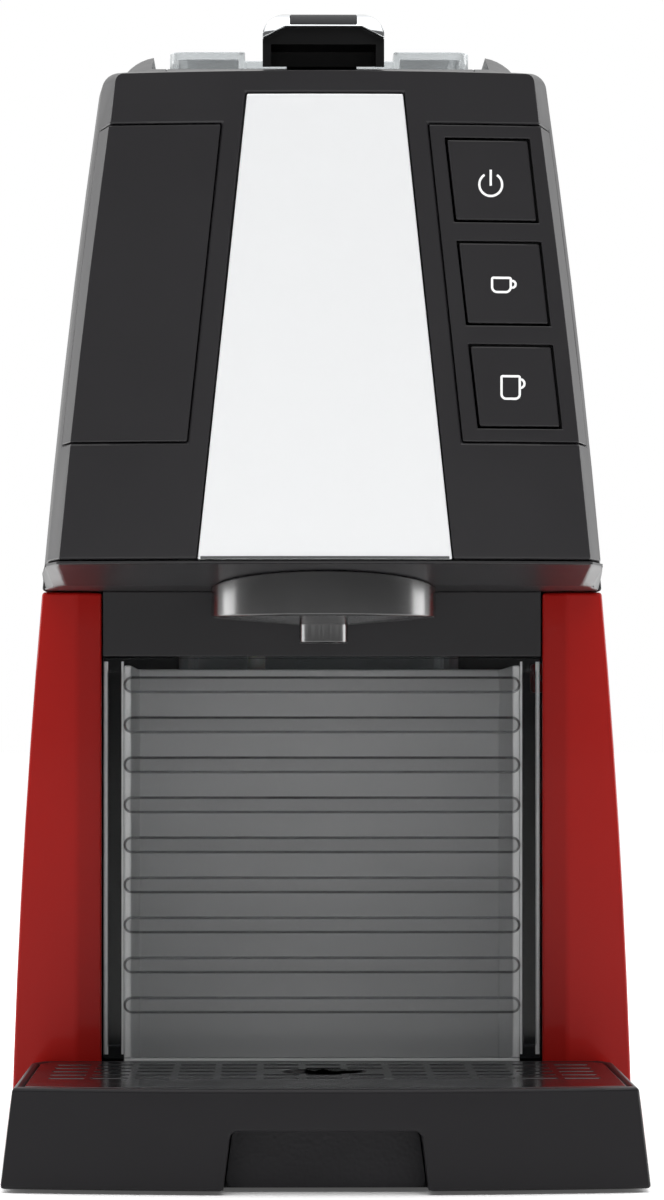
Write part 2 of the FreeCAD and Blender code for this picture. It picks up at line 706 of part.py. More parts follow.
def side_prism(inset, z0, z1, y0, y1):
    """Right half of the body between two heights, inset from the side arc."""
    foot = Vector(half_width(z0) - inset, y0, z0)
    head = Vector(half_width(z1) - inset, y0, z1)
    middle = (z0 + z1) / 2
    arc = Part.Arc(foot, Vector(half_width(middle) - inset, y0, middle), head).toShape()
    lines = [(Vector(0, y0, z0), foot), (head, Vector(0, y0, z1)), (Vector(0, y0, z1), Vector(0, y0, z0))]
    edges = [Part.LineSegment(a, b).toShape() for a, b in lines]
    wire = Part.Wire(Part.__sortEdges__([arc] + edges))
    return Part.Face(wire).extrude(Vector(0, y1 - y0, 0))


def make_columns():
    """Red side panels: a folded front and a long side wall each."""
    outer = side_prism(0.0, PANEL_BOTTOM, PANEL_TOP, COLUMN_FRONT, CASE_BACK)
    front_depth = STRIP_DEPTH + PANEL_WALL
    core = side_prism(PANEL_WALL, PANEL_BOTTOM - CUT_OVER, PANEL_TOP + CUT_OVER,
                      COLUMN_FRONT + front_depth, CASE_BACK + CUT_OVER)
    slope = (CREASE_HALF - BAY_HALF) / STRIP_DEPTH
    front = COLUMN_FRONT - CUT_OVER
    bay = prism_z([(-CUT_OVER, front), (CREASE_HALF + slope * CUT_OVER, front),
                   (BAY_HALF, COLUMN_FRONT + STRIP_DEPTH), (BAY_HALF, CASE_BACK + CUT_OVER),
                   (-CUT_OVER, CASE_BACK + CUT_OVER)], 0, HIGH)
    panel = outer.cut(core).cut(bay)
    return {"side_panel_right": panel, "side_panel_left": mirrored(panel)}


RUNNER_INNER = TONGUE_HALF + SLIDE_GAP
RUNNER_BACK = BIN_BACK + BIN_WALL + SLIDE_GAP
BASE_FRONT = COLUMN_FRONT + SEAM


def make_base():
    """Base pan with drawer runners, and the rubber feet under it."""
    half = half_width(FOOT_HEIGHT) - PANEL_WALL
    pan = box(-half, half, BASE_FRONT, CASE_BACK, FOOT_HEIGHT, PANEL_BOTTOM)
    ledge = box(RUNNER_INNER - RUNNER_LEDGE, RUNNER_INNER, BASE_FRONT, RUNNER_BACK,
                PANEL_BOTTOM - BASE_PLATE, TONGUE_LEVEL - SLIDE_GAP)
    guide = box(RUNNER_INNER, RUNNER_INNER + RUNNER_WALL, BASE_FRONT, RUNNER_BACK,
                PANEL_BOTTOM - BASE_PLATE, TONGUE_LEVEL + TONGUE_THICK)
    stop_half = RUNNER_INNER + RUNNER_WALL
    stop = box(-stop_half, stop_half, RUNNER_BACK, RUNNER_BACK + RUNNER_WALL,
               PANEL_BOTTOM - BASE_PLATE, TONGUE_LEVEL + TONGUE_THICK)
    pan = join(pan, ledge, guide, mirrored(ledge), mirrored(guide), stop)
    feet = []
    for x in (-FOOT_SIDE, FOOT_SIDE):
        for y in (FOOT_FRONT, FOOT_REAR):
            feet.append(rod((x, y, 0), (0, 0, 1), FOOT_RADIUS, FOOT_HEIGHT))
    return {"base_pan": pan, "rubber_feet": Part.makeCompound(feet)}


BACK_PANEL_BOTTOM = BIN_TOP + SEAM
BACK_PANEL_HALF = BAY_HALF - SEAM
BIN_FACE = COLUMN_FRONT + STRIP_DEPTH


def make_back_panel():
    """Dark panel between the columns, over the pod bin."""
    plate = box(-BACK_PANEL_HALF, BACK_PANEL_HALF, BIN_FACE, BIN_FACE + BIN_FRONT_PLATE,
                BACK_PANEL_BOTTOM, HEAD_BOTTOM)
    return {"back_panel": plate}


def make_rear():
    """Rear cover with vent slots, and the mains inlet let into it."""
    wire = body_section(REAR - COVER, PANEL_BOTTOM, 0.0, rim_level)
    cover = Part.Face(wire).extrude(Vector(0, COVER, 0)).cut(CHANNEL)
    front = REAR - COVER - CUT_OVER
    for index in range(VENT_COUNT):
        z = VENT_BOTTOM + index * VENT_PITCH
        slot = prism_y(rectangle(-VENT_HALF, VENT_HALF, z, z + VENT_HEIGHT), front, REAR + CUT_OVER,
                       VENT_HEIGHT / 3)
        cover = cover.cut(slot)
    x0 = INLET_X - INLET_WIDTH / 2
    x1 = INLET_X + INLET_WIDTH / 2
    z1 = INLET_BOTTOM + INLET_HEIGHT
    inlet_frame = rectangle(x0 - SEAM, x1 + SEAM, INLET_BOTTOM - SEAM, z1 + SEAM)
    inlet_hole = prism_y(inlet_frame, front, REAR + CUT_OVER)
    cover = cover.cut(inlet_hole)
    body = box(x0, x1, REAR - INLET_DEPTH, REAR, INLET_BOTTOM, z1)
    well = prism_y(rectangle(x0 + INLET_WALL, x1 - INLET_WALL, INLET_BOTTOM + INLET_WALL, z1 - INLET_WALL),
                   REAR - INLET_DEPTH + INLET_WALL, REAR + CUT_OVER, INLET_WALL)
    inlet = body.cut(well)
    middle = INLET_BOTTOM + INLET_HEIGHT / 2
    for step in (-1, 0, 1):
        x = INLET_X + step * INLET_PIN_PITCH
        pin = box(x - INLET_PIN / 2, x + INLET_PIN / 2, REAR - INLET_DEPTH, REAR - INLET_WALL,
                  middle - INLET_PIN, middle + INLET_PIN)
        inlet = join(inlet, pin)
    return {"rear_cover": cover, "mains_inlet": inlet}


def revolved(points, x, y):
    """Ring solid from an outline given as (radius, z), turned about an upright axis."""
    wire = outline([(x + r, y, z) for r, z in points])
    return Part.Face(wire).revolve(Vector(x, y, 0), Vector(0, 0, 1), 360)


def make_spout():
    """Round spout housing under the head, its nozzle, and the funnel above it."""
    low = SPOUT_BOTTOM - SPOUT_CONE
    hole = NOZZLE_RADIUS + SHAFT_GAP
    rim = NOZZLE_RADIUS + NOZZLE_COLLAR
    inner = SPOUT_RADIUS - SPOUT_WALL
    housing = revolved([(hole, low), (rim, low), (SPOUT_RADIUS, SPOUT_BOTTOM), (SPOUT_RADIUS, UNDERCAP_TOP),
                        (inner, UNDERCAP_TOP), (inner, SPOUT_BOTTOM + SPOUT_WALL), (hole, low + SPOUT_WALL)],
                       0, SPOUT_Y).cut(undercap_block())
    seat = low + SPOUT_WALL
    nozzle = revolved([(NOZZLE_BORE, NOZZLE_TIP), (NOZZLE_RADIUS, NOZZLE_TIP),
                       (NOZZLE_RADIUS, seat + SHAFT_GAP), (hole + NOZZLE_COLLAR, seat + SPOUT_WALL),
                       (NOZZLE_BORE, seat + SPOUT_WALL)], 0, SPOUT_Y)
    back = COLUMN_FRONT
    front = SPOUT_Y - SPOUT_RADIUS * 2 / 3
    top = FLOOR_TOP + FUNNEL_HEIGHT
    funnel = box(-FUNNEL_HALF, FUNNEL_HALF, front, back, FLOOR_TOP, top)
    bowl = box(-FUNNEL_HALF + FUNNEL_WALL, FUNNEL_HALF - FUNNEL_WALL, front + FUNNEL_WALL, back - FUNNEL_WALL,
               FLOOR_TOP + FUNNEL_WALL, top + CUT_OVER)
    spigot_low = HEAD_BOTTOM - SPOUT_WALL
    spigot = rod((0, SPOUT_Y, spigot_low), (0, 0, 1), SPIGOT_RADIUS, FLOOR_TOP - spigot_low)
    bore = rod((0, SPOUT_Y, spigot_low - CUT_OVER), (0, 0, 1), SPIGOT_RADIUS - FUNNEL_WALL, HIGH)
    return {"spout_housing": housing, "spout_nozzle": nozzle,
            "spout_funnel": join(funnel.cut(bowl), spigot).cut(bore)}


def make_chute():
    """Open chute that leads a pod from the port down to the brew unit."""
    ring = prism_z(port_outline(SLIDE_GAP + CHUTE_WALL), CHUTE_BOTTOM, HIGH)
    ring = ring.cut(prism_z(port_outline(SLIDE_GAP), 0, HIGH))
    return {"pod_chute": ring.common(HEAD_CLEAR)}


PIVOT_Z = CHANNEL_LEVEL - LEVER_PIVOT_DROP
CAGE_BACK = CAGE_FRONT + CAGE_LENGTH
SEAL_FRONT = CAGE_BACK + GASKET_THICK + INJECTOR_GAP
INJECTOR_FRONT = SEAL_FRONT + SEAL_THICK
INJECTOR_BACK = INJECTOR_FRONT + INJECTOR_THICK
CRANK_ANGLE = math.radians(LEVER_SWING / 2)
PIN_Y = LEVER_PIVOT_Y + CRANK_RADIUS * math.sin(CRANK_ANGLE)
PIN_Z = PIVOT_Z - CRANK_RADIUS * math.cos(CRANK_ANGLE)
PIN_LOW = PIVOT_Z - CRANK_RADIUS
FRAME_OUTER = FRAME_INNER + FRAME_THICK
YOKE_OUTER = YOKE_INNER + YOKE_THICK
YOKE_BOTTOM = CAGE_AXIS - YOKE_HEIGHT / 2


def make_frame():
    """Brew frame: two side plates with feet, a cross bar for the injector, bushes and screws."""
    top = PIVOT_Z + BUSH_RADIUS + FRAME_THICK
    shape = [(FRAME_FRONT, FLOOR_TOP), (FRAME_BACK, FLOOR_TOP), (FRAME_BACK, CAGE_AXIS),
             (LEVER_PIVOT_Y + 2 * BUSH_RADIUS, top), (LEVER_PIVOT_Y - 2 * BUSH_RADIUS, top),
             (FRAME_FRONT, CHUTE_BOTTOM)]
    plate = prism_x(shape, FRAME_INNER, FRAME_OUTER)
    foot = box(FRAME_OUTER, FRAME_OUTER + FRAME_FLANGE, FRAME_FRONT, FRAME_BACK,
               FLOOR_TOP, FLOOR_TOP + FRAME_THICK)
    side = join(plate, foot)
    for y in SCREW_PLACES:
        side = side.cut(rod((FRAME_OUTER + FRAME_FLANGE / 2, y, 0), (0, 0, 1), SCREW_RADIUS, HIGH))
    side = side.cut(rod((0, LEVER_PIVOT_Y, PIVOT_Z), (1, 0, 0), BUSH_RADIUS, FAR))
    bar = box(-FRAME_INNER, FRAME_INNER, INJECTOR_BACK, INJECTOR_BACK + FRAME_THICK,
              CAGE_AXIS - CAGE_RADIUS, YOKE_BOTTOM - 2 * SLIDE_GAP)
    frame = join(side, bar, mirrored(side))
    bush = join(rod((FRAME_INNER, LEVER_PIVOT_Y, PIVOT_Z), (1, 0, 0), BUSH_RADIUS, FRAME_THICK),
                rod((FRAME_OUTER, LEVER_PIVOT_Y, PIVOT_Z), (1, 0, 0), BUSH_RADIUS + BUSH_FLANGE, BUSH_FLANGE))
    bush = bush.cut(rod((0, LEVER_PIVOT_Y, PIVOT_Z), (1, 0, 0), SHAFT_RADIUS + SHAFT_GAP, FAR))
    screws = []
    for y in SCREW_PLACES:
        for x in (-FRAME_OUTER - FRAME_FLANGE / 2, FRAME_OUTER + FRAME_FLANGE / 2):
            screws.append(rod((x, y, FLOOR_TOP + FRAME_THICK), (0, 0, 1), SCREW_HEAD, SCREW_RADIUS))
            screws[-1] = join(screws[-1], rod((x, y, FLOOR_TOP), (0, 0, 1), SCREW_RADIUS, FRAME_THICK))
    return {"brew_frame": frame, "lever_bushes": Part.makeCompound([bush, mirrored(bush)]),
            "brew_screws": Part.makeCompound(screws)}


def make_injector():
    """Fixed injector with needles and a face seal."""
    middle = (0, INJECTOR_FRONT, CAGE_AXIS)
    plate = rod(middle, (0, 1, 0), CAGE_RADIUS, INJECTOR_THICK)
    for index in range(NEEDLE_COUNT):
        angle = 2 * math.pi * index / NEEDLE_COUNT
        x = NEEDLE_RING * math.cos(angle)
        z = CAGE_AXIS + NEEDLE_RING * math.sin(angle)
        needle = Part.makeCone(NEEDLE_RADIUS, NEEDLE_RADIUS / 4, NEEDLE_LENGTH, Vector(x, INJECTOR_FRONT, z),
                               Vector(0, -1, 0))
        plate = join(plate, needle)
    seal = rod((0, SEAL_FRONT, CAGE_AXIS), (0, 1, 0), CAGE_RADIUS, SEAL_THICK)
    seal = seal.cut(rod((0, SEAL_FRONT, CAGE_AXIS), (0, 1, 0), CAGE_BORE - SEAL_THICK, SEAL_THICK))
    return {"injector_plate": plate, "injector_seal": seal}


def make_cage():
    """Moving pod cage with its outlet, its gasket and the two slotted yokes."""
    start = (0, CAGE_FRONT, CAGE_AXIS)
    cup = rod(start, (0, 1, 0), CAGE_RADIUS, CAGE_LENGTH)
    cup = cup.cut(rod((0, CAGE_FRONT + CAGE_FLOOR, CAGE_AXIS), (0, 1, 0), CAGE_BORE, CAGE_LENGTH))
    reach = CAGE_FRONT - OUTLET_REACH
    outlet = join(rod((0, reach + OUTLET_RADIUS, CAGE_AXIS), (0, 1, 0), OUTLET_RADIUS, OUTLET_REACH),
                  rod((0, reach + OUTLET_RADIUS, CAGE_AXIS), (0, 0, -1), OUTLET_RADIUS, OUTLET_DROP),
                  Part.makeSphere(OUTLET_RADIUS, Vector(0, reach + OUTLET_RADIUS, CAGE_AXIS)))
    lug_front = CAGE_FRONT + CAGE_FLOOR
    lugs = box(-YOKE_INNER, YOKE_INNER, lug_front, CAGE_BACK - CAGE_FLOOR,
               YOKE_BOTTOM, YOKE_BOTTOM + YOKE_HEIGHT)
    lugs = lugs.cut(rod(start, (0, 1, 0), CAGE_RADIUS - SLIDE_GAP, CAGE_LENGTH))
    cage = join(cup, outlet, lugs)
    bore = rod((0, CAGE_FRONT + CAGE_FLOOR, CAGE_AXIS), (0, -1, 0), OUTLET_RADIUS / 2,
               CAGE_FLOOR + OUTLET_REACH)
    drop = rod((0, reach + OUTLET_RADIUS, CAGE_AXIS), (0, 0, -1), OUTLET_RADIUS / 2, OUTLET_DROP + CUT_OVER)
    cage = cage.cut(bore.common(box(-FAR, FAR, reach + OUTLET_RADIUS, 0, 0, HIGH))).cut(drop)
    gasket = rod((0, CAGE_BACK, CAGE_AXIS), (0, 1, 0), CAGE_RADIUS, GASKET_THICK)
    gasket = gasket.cut(rod((0, CAGE_BACK, CAGE_AXIS), (0, 1, 0), CAGE_BORE, GASKET_THICK))
    bar = box(YOKE_INNER, YOKE_OUTER, lug_front, PIN_Y + YOKE_HEAD, YOKE_BOTTOM, YOKE_BOTTOM + YOKE_HEIGHT)
    room = CRANK_PIN_RADIUS + CRANK_PIN_ROOM
    head_top = PIN_Z + room + YOKE_THICK
    head = box(YOKE_INNER, YOKE_OUTER, PIN_Y - YOKE_HEAD, PIN_Y + YOKE_HEAD, YOKE_BOTTOM, head_top)
    slot = box(0, FAR, PIN_Y - room, PIN_Y + room, PIN_LOW - room, PIN_Z + room)
    yoke = join(bar, head).cut(slot)
    return {"pod_cage": cage, "cage_gasket": gasket, "cage_yokes": Part.makeCompound([yoke, mirrored(yoke)])}


def lever_prism(points, y0, length):
    """Lever section given as (x, z) at the grip, drawn back along the lever's slope."""
    lift = LEVER_SLOPE * (y0 - LEVER_FRONT)
    wire = outline([(x, y0, z + lift) for x, z in points])
    return Part.Face(wire).extrude(Vector(0, length, length * LEVER_SLOPE))


def cap_solid():
    """Chrome cap of the lever, arched over the arm, with a rounded nose."""
    shoulder_z = LEVER_TOP - CAP_SHOULDER
    step = shoulder_z + (CAP_SHOULDER - LEVER_HALF + CAP_FLAT_HALF)
    bulge = math.sqrt(0.5)
    mid_x = CAP_FLAT_HALF + (LEVER_HALF - CAP_FLAT_HALF) * bulge
    mid_z = step + (LEVER_TOP - step) * bulge
    y = LEVER_FRONT

    def at(x, z):
        return Vector(x, y, z)

    low = LEVER_TOP - CAP_THICK
    edges = [Part.LineSegment(at(LEVER_HALF, shoulder_z), at(LEVER_HALF, step)),
             Part.Arc(at(LEVER_HALF, step), at(mid_x, mid_z), at(CAP_FLAT_HALF, LEVER_TOP)),
             Part.LineSegment(at(CAP_FLAT_HALF, LEVER_TOP), at(-CAP_FLAT_HALF, LEVER_TOP)),
             Part.Arc(at(-CAP_FLAT_HALF, LEVER_TOP), at(-mid_x, mid_z), at(-LEVER_HALF, step)),
             Part.LineSegment(at(-LEVER_HALF, step), at(-LEVER_HALF, shoulder_z)),
             Part.LineSegment(at(-LEVER_HALF, shoulder_z), at(-CAP_FLAT_HALF, low)),
             Part.LineSegment(at(-CAP_FLAT_HALF, low), at(CAP_FLAT_HALF, low)),
             Part.LineSegment(at(CAP_FLAT_HALF, low), at(LEVER_HALF, shoulder_z))]
    length = LEVER_BACK - CAP_TAIL - LEVER_FRONT
    wire = Part.Wire([edge.toShape() for edge in edges])
    cap = Part.Face(wire).extrude(Vector(0, length, length * LEVER_SLOPE))
    return cap.common(nose_prism(length))


def nose_prism(length):
    """Side view of the chrome cap with its rounded nose, drawn across the lever."""
    base = LEVER_TOP - CAP_SHOULDER - CUT_OVER
    end_y = LEVER_FRONT + length
    points = [Vector(-LEVER_HALF, LEVER_FRONT, base), Vector(-LEVER_HALF, LEVER_FRONT, LEVER_TOP),
              Vector(-LEVER_HALF, end_y, LEVER_TOP + length * LEVER_SLOPE), Vector(-LEVER_HALF, end_y, base)]
    start, middle, end = corner_arc(points[0], points[1], points[2], CAP_NOSE)
    edges = [Part.LineSegment(points[0], start), Part.Arc(start, middle, end),
             Part.LineSegment(end, points[2]), Part.LineSegment(points[2], points[3]),
             Part.LineSegment(points[3], points[0])]
    wire = Part.Wire([edge.toShape() for edge in edges])
    return Part.Face(wire).extrude(Vector(2 * LEVER_HALF, 0, 0))


def make_lever():
    """Lever: black arm with the port flap, chrome cap, inlay, shaft and cranks."""
    ride = DECK_CROWN + LEVER_RIDE
    low = BROW_LEVEL
    flat = LEVER_TOP - CAP_THICK - SHAFT_GAP
    side = LEVER_TOP - CAP_SHOULDER - SHAFT_GAP
    start = LEVER_FRONT + CAP_OVERHANG
    arm = lever_prism([(-LEVER_HALF, low), (LEVER_HALF, low), (LEVER_HALF, side), (CAP_FLAT_HALF, flat),
                       (-CAP_FLAT_HALF, flat), (-LEVER_HALF, side)], start, LEVER_BACK - start)
    front = LEVER_FRONT - CUT_OVER
    back = LEVER_BACK + CUT_OVER
    deck = prism_x([(front, 0), (back, 0), (back, ramp_level(back) + ride),
                    (front, ramp_level(front) + ride)], -FAR, FAR)
    inner = LEVER_HALF - HOLLOW_SIDE
    hollow = box(-inner, inner, front, start + HOLLOW_DEPTH, 0, side - HOLLOW_SIDE / 2)
    arm = arm.cut(deck).cut(hollow)
    top = flat + LEVER_SLOPE * (LEVER_BACK - LEVER_FRONT)
    neck = LEVER_BACK - LEVER_BOSS
    boss_front = LEVER_PIVOT_Y - LEVER_BOSS
    boss_back = LEVER_PIVOT_Y + LEVER_BOSS
    root = prism_x([(neck, ramp_level(neck) + ride),
                    (LEVER_BACK + LEVER_RIDE, ramp_level(LEVER_BACK) + ride),
                    (boss_front, PIVOT_Z + SHAFT_RADIUS), (boss_front, PIVOT_Z),
                    (boss_back, PIVOT_Z), (boss_back, PIVOT_Z + SHAFT_RADIUS),
                    (LEVER_BACK + LEVER_BOSS, top - LEVER_ROOT_DROP), (LEVER_BACK, top),
                    (neck, top - LEVER_SLOPE * LEVER_BOSS)], -LEVER_ROOT_HALF, LEVER_ROOT_HALF)
    boss = rod((-LEVER_ROOT_HALF, LEVER_PIVOT_Y, PIVOT_Z), (1, 0, 0), LEVER_BOSS, 2 * LEVER_ROOT_HALF)
    flap_back = PORT_BACK - FLAP_ROOM
    flap = HEAD_WALL.common(prism_z(rectangle(-PORT_HALF, PORT_HALF, PORT_FRONT, flap_back), 0, HIGH))
    rib_front = PORT_FRONT + LEVER_BOSS
    rib = prism_x([(rib_front, ramp_level(rib_front) - WALL / 2), (neck, ramp_level(neck) - WALL / 2),
                   (neck, ramp_level(neck) + 2 * ride), (rib_front, ramp_level(rib_front) + 2 * ride)],
                  -LEVER_ROOT_HALF, LEVER_ROOT_HALF)
    bore = rod((-FAR, LEVER_PIVOT_Y, PIVOT_Z), (1, 0, 0), SHAFT_RADIUS, 2 * FAR)
    arm = join(arm, root, boss, flap, rib).cut(bore)
    cap = cap_solid()
    skin = cap.copy()
    skin.translate(Vector(0, INLAY_THICK, -INLAY_THICK))
    inlay_end = LEVER_BACK - CAP_TAIL - INLAY_BACK
    window = box(-INLAY_HALF, INLAY_HALF, front, inlay_end, LEVER_TOP - INLAY_DROP, HIGH)
    inlay = cap.common(window).cut(skin)
    half = FRAME_OUTER + 2 * BUSH_FLANGE
    shaft = rod((-half, LEVER_PIVOT_Y, PIVOT_Z), (1, 0, 0), SHAFT_RADIUS, 2 * half)
    crank = crank_solid().cut(bore)
    return {"lever_arm": arm, "lever_cap": cap.cut(inlay), "lever_inlay": inlay, "lever_shaft": shaft,
            "lever_cranks": Part.makeCompound([crank, mirrored(crank)])}


def crank_solid():
    """Right-hand crank: a link from the shaft to its pin, and the pin itself."""
    end = CRANK_PIN_RADIUS + CRANK_PIN_ROOM
    along = Vector(0, PIN_Y - LEVER_PIVOT_Y, PIN_Z - PIVOT_Z)
    along.normalize()
    ny, nz = -along.z, along.y
    link = prism_x([(LEVER_PIVOT_Y + ny * BUSH_RADIUS, PIVOT_Z + nz * BUSH_RADIUS),
                    (PIN_Y + ny * end, PIN_Z + nz * end), (PIN_Y - ny * end, PIN_Z - nz * end),
                    (LEVER_PIVOT_Y - ny * BUSH_RADIUS, PIVOT_Z - nz * BUSH_RADIUS)],
                   CRANK_INNER, CRANK_INNER + CRANK_THICK)
    hub = rod((CRANK_INNER, LEVER_PIVOT_Y, PIVOT_Z), (1, 0, 0), BUSH_RADIUS, CRANK_THICK)
    tip = rod((CRANK_INNER, PIN_Y, PIN_Z), (1, 0, 0), end, CRANK_THICK)
    pin = rod((CRANK_INNER, PIN_Y, PIN_Z), (1, 0, 0), CRANK_PIN_RADIUS, YOKE_OUTER + SLIDE_GAP - CRANK_INNER)
    return join(link, hub, tip, pin)


TRAY_BACK = COLUMN_FRONT - SLIDE_GAP
TONGUE_TOP = TONGUE_LEVEL + TONGUE_THICK


def tray_wire(half, front_in, back, z):
    """Plan outline of the tray: bowed front, straight sides, cut rear corners."""
    radius = TRAY_BOW - front_in
    middle = TRAY_FRONT + front_in
    y = middle + radius - math.sqrt(radius ** 2 - half ** 2)
    cut = half - TRAY_CORNER / 3
    points = [Vector(half, y, z), Vector(half, back - TRAY_CORNER, z), Vector(cut, back, z),
              Vector(-cut, back, z), Vector(-half, back - TRAY_CORNER, z), Vector(-half, y, z)]
    edges = [Part.LineSegment(a, b).toShape() for a, b in zip(points, points[1:])]
    edges.append(Part.Arc(points[-1], Vector(0, middle, z), points[0]).toShape())
    return Part.Wire(edges)


def tray_prism(half, front_in, back, z0, z1):
    """Upright block with the tray's plan outline."""
    return Part.Face(tray_wire(half, front_in, back, z0)).extrude(Vector(0, 0, z1 - z0))


PLATE_BOTTOM = TRAY_TOP - PLATE_THICK
REBATE_HALF = TRAY_HALF_TOP - PLATE_SIDE_RIM
REBATE_BACK = TRAY_BACK - TRAY_WALL
NOTCH_BACK = TRAY_FRONT + NOTCH_DEPTH


def notch_outline(grow, low):
    """Outline of the finger notch, as (x, z)."""
    lean = (NOTCH_HALF_BOTTOM - NOTCH_HALF_TOP) / (NOTCH_TOP - TRAY_FLOOR_LEVEL)
    bottom = NOTCH_HALF_BOTTOM + lean * (TRAY_FLOOR_LEVEL - low) + grow
    top = NOTCH_HALF_TOP + grow
    return [(-bottom, low), (bottom, low), (top, NOTCH_TOP + grow), (-top, NOTCH_TOP + grow)]


def make_tray():
    """Drip tray with a finger notch and the tongue that carries the bin, and its grip insert."""
    outer = Part.makeLoft([tray_wire(TRAY_HALF_BOTTOM, 0.0, TRAY_BACK, TRAY_FLOOR_LEVEL),
                           tray_wire(TRAY_HALF_TOP, 0.0, TRAY_BACK, TRAY_TOP)], True, True)
    rebate = tray_prism(REBATE_HALF, PLATE_FRONT_RIM, REBATE_BACK, PLATE_BOTTOM - SEAM, TRAY_TOP + CUT_OVER)
    bowl = tray_prism(REBATE_HALF - PLATE_LEDGE, PLATE_FRONT_RIM + PLATE_LEDGE, REBATE_BACK - PLATE_LEDGE,
                      TRAY_FLOOR_LEVEL + TRAY_WALL, TRAY_TOP + CUT_OVER)
    low = TRAY_FLOOR_LEVEL - CUT_OVER
    housing = prism_y(notch_outline(TRAY_WALL, low), TRAY_FRONT, NOTCH_BACK + TRAY_WALL)
    notch = prism_y(notch_outline(0.0, low), TRAY_FRONT - CUT_OVER, NOTCH_BACK, NOTCH_RADIUS)
    tongue = box(-TONGUE_HALF, TONGUE_HALF, TRAY_BACK - TRAY_WALL, BIN_BACK, TONGUE_LEVEL, TONGUE_TOP)
    tray = join(outer.cut(rebate).cut(bowl.cut(housing)), tongue).cut(notch)
    insert = prism_y(notch_outline(-SEAM, TRAY_FLOOR_LEVEL + SEAM), NOTCH_BACK - INSERT_PLATE, NOTCH_BACK,
                     NOTCH_RADIUS)
    return {"drip_tray": tray, "grip_insert": insert}


def make_bin():
    """Pod bin: an open tub closed in front by a ribbed smoked panel."""
    face_back = BIN_FACE + BIN_FRONT_PLATE
    tub_top = BIN_TOP - BIN_WALL
    tub = box(-BIN_HALF, BIN_HALF, face_back, BIN_BACK, TONGUE_TOP, tub_top)
    inside = box(-BIN_HALF + BIN_WALL, BIN_HALF - BIN_WALL, face_back - CUT_OVER, BIN_BACK - BIN_WALL,
                 TONGUE_TOP + BIN_WALL, tub_top + CUT_OVER)
    sill = box(-BIN_HALF, BIN_HALF, face_back, face_back + BIN_WALL, TONGUE_TOP, TRAY_TOP + SEAM)
    half = BAY_HALF - SLIDE_GAP
    low = TRAY_TOP + SEAM
    front = box(-half, half, BIN_FACE, face_back, low, BIN_TOP)
    margin = GROOVE_OUTER - GROOVE_INNER
    groove = box(GROOVE_INNER, GROOVE_OUTER, BIN_FACE - CUT_OVER, BIN_FACE + GROOVE_DEPTH,
                 low + margin, BIN_TOP - margin)
    front = front.cut(groove).cut(mirrored(groove))
    ribs = []
    for index in range(RIB_COUNT):
        z = RIB_TOP - index * RIB_PITCH
        shape = rectangle(-RIB_HALF, RIB_HALF, z - RIB_HEIGHT / 2, z + RIB_HEIGHT / 2)
        ribs.append(prism_y(shape, BIN_FACE - RIB_PROUD, BIN_FACE + GROOVE_DEPTH, RIB_HEIGHT / 2 - SHAFT_GAP))
    return {"bin_tub": join(tub.cut(inside), sill), "bin_front": join(front, *ribs)}


def make_plate():
    """Slotted drip plate with a shallow dish under the nozzle."""
    half = REBATE_HALF - SLIDE_GAP
    plate = tray_prism(half, PLATE_FRONT_RIM + SLIDE_GAP, REBATE_BACK - SLIDE_GAP, PLATE_BOTTOM, TRAY_TOP)
    cuts = []
    columns = int(PLATE_SLOT_REACH / PLATE_SLOT_STEP)
    for row in range(PLATE_SLOT_ROWS):
        y = SPOUT_Y + (row - (PLATE_SLOT_ROWS - 1) / 2) * PLATE_SLOT_PITCH
        for column in range(-columns, columns + 1):
            x = column * PLATE_SLOT_STEP
            reach = math.hypot(max(abs(x) - PLATE_SLOT_LENGTH / 2, 0), y - SPOUT_Y)
            if reach > PLATE_DISH_RADIUS + PLATE_SLOT_WIDTH / 2:
                shape = rectangle(x - PLATE_SLOT_LENGTH / 2, x + PLATE_SLOT_LENGTH / 2,
                                  y - PLATE_SLOT_WIDTH / 2, y + PLATE_SLOT_WIDTH / 2)
                cuts.append(prism_z(shape, PLATE_BOTTOM - CUT_OVER, TRAY_TOP + CUT_OVER))
    cuts.append(rod((0, SPOUT_Y, TRAY_TOP - PLATE_DISH_DEPTH), (0, 0, 1), PLATE_DISH_RADIUS, CUT_OVER))
    cuts.append(rod((0, SPOUT_Y, PLATE_BOTTOM - CUT_OVER), (0, 0, 1), PLATE_SLOT_WIDTH, HIGH))
    return {"drip_plate": plate.cut(cuts)}


DOCK_TOP = TANK_BOTTOM - SLIDE_GAP
DOCK_LOW = DOCK_TOP - DOCK_PLATE
SOCKET_LOW = DOCK_LOW - SOCKET_DEPTH
LID_BOTTOM = CHANNEL_LEVEL + SLIDE_GAP
LID_TOP = LID_BOTTOM + LID_HEIGHT
TANK_TOP = CHANNEL_LEVEL
LID_PIN_Y = TANK_BACK + KNUCKLE_RADIUS - TANK_WALL / 2
LID_PIN_Z = CHANNEL_LEVEL + SLIDE_GAP + KNUCKLE_RADIUS
LID_BACK = LID_PIN_Y - KNUCKLE_RADIUS - SLIDE_GAP


def upright_block(half, front, back, low, high, radius):
    """Block with rounded upright edges."""
    return prism_z(rectangle(-half, half, front, back), low, high, radius)


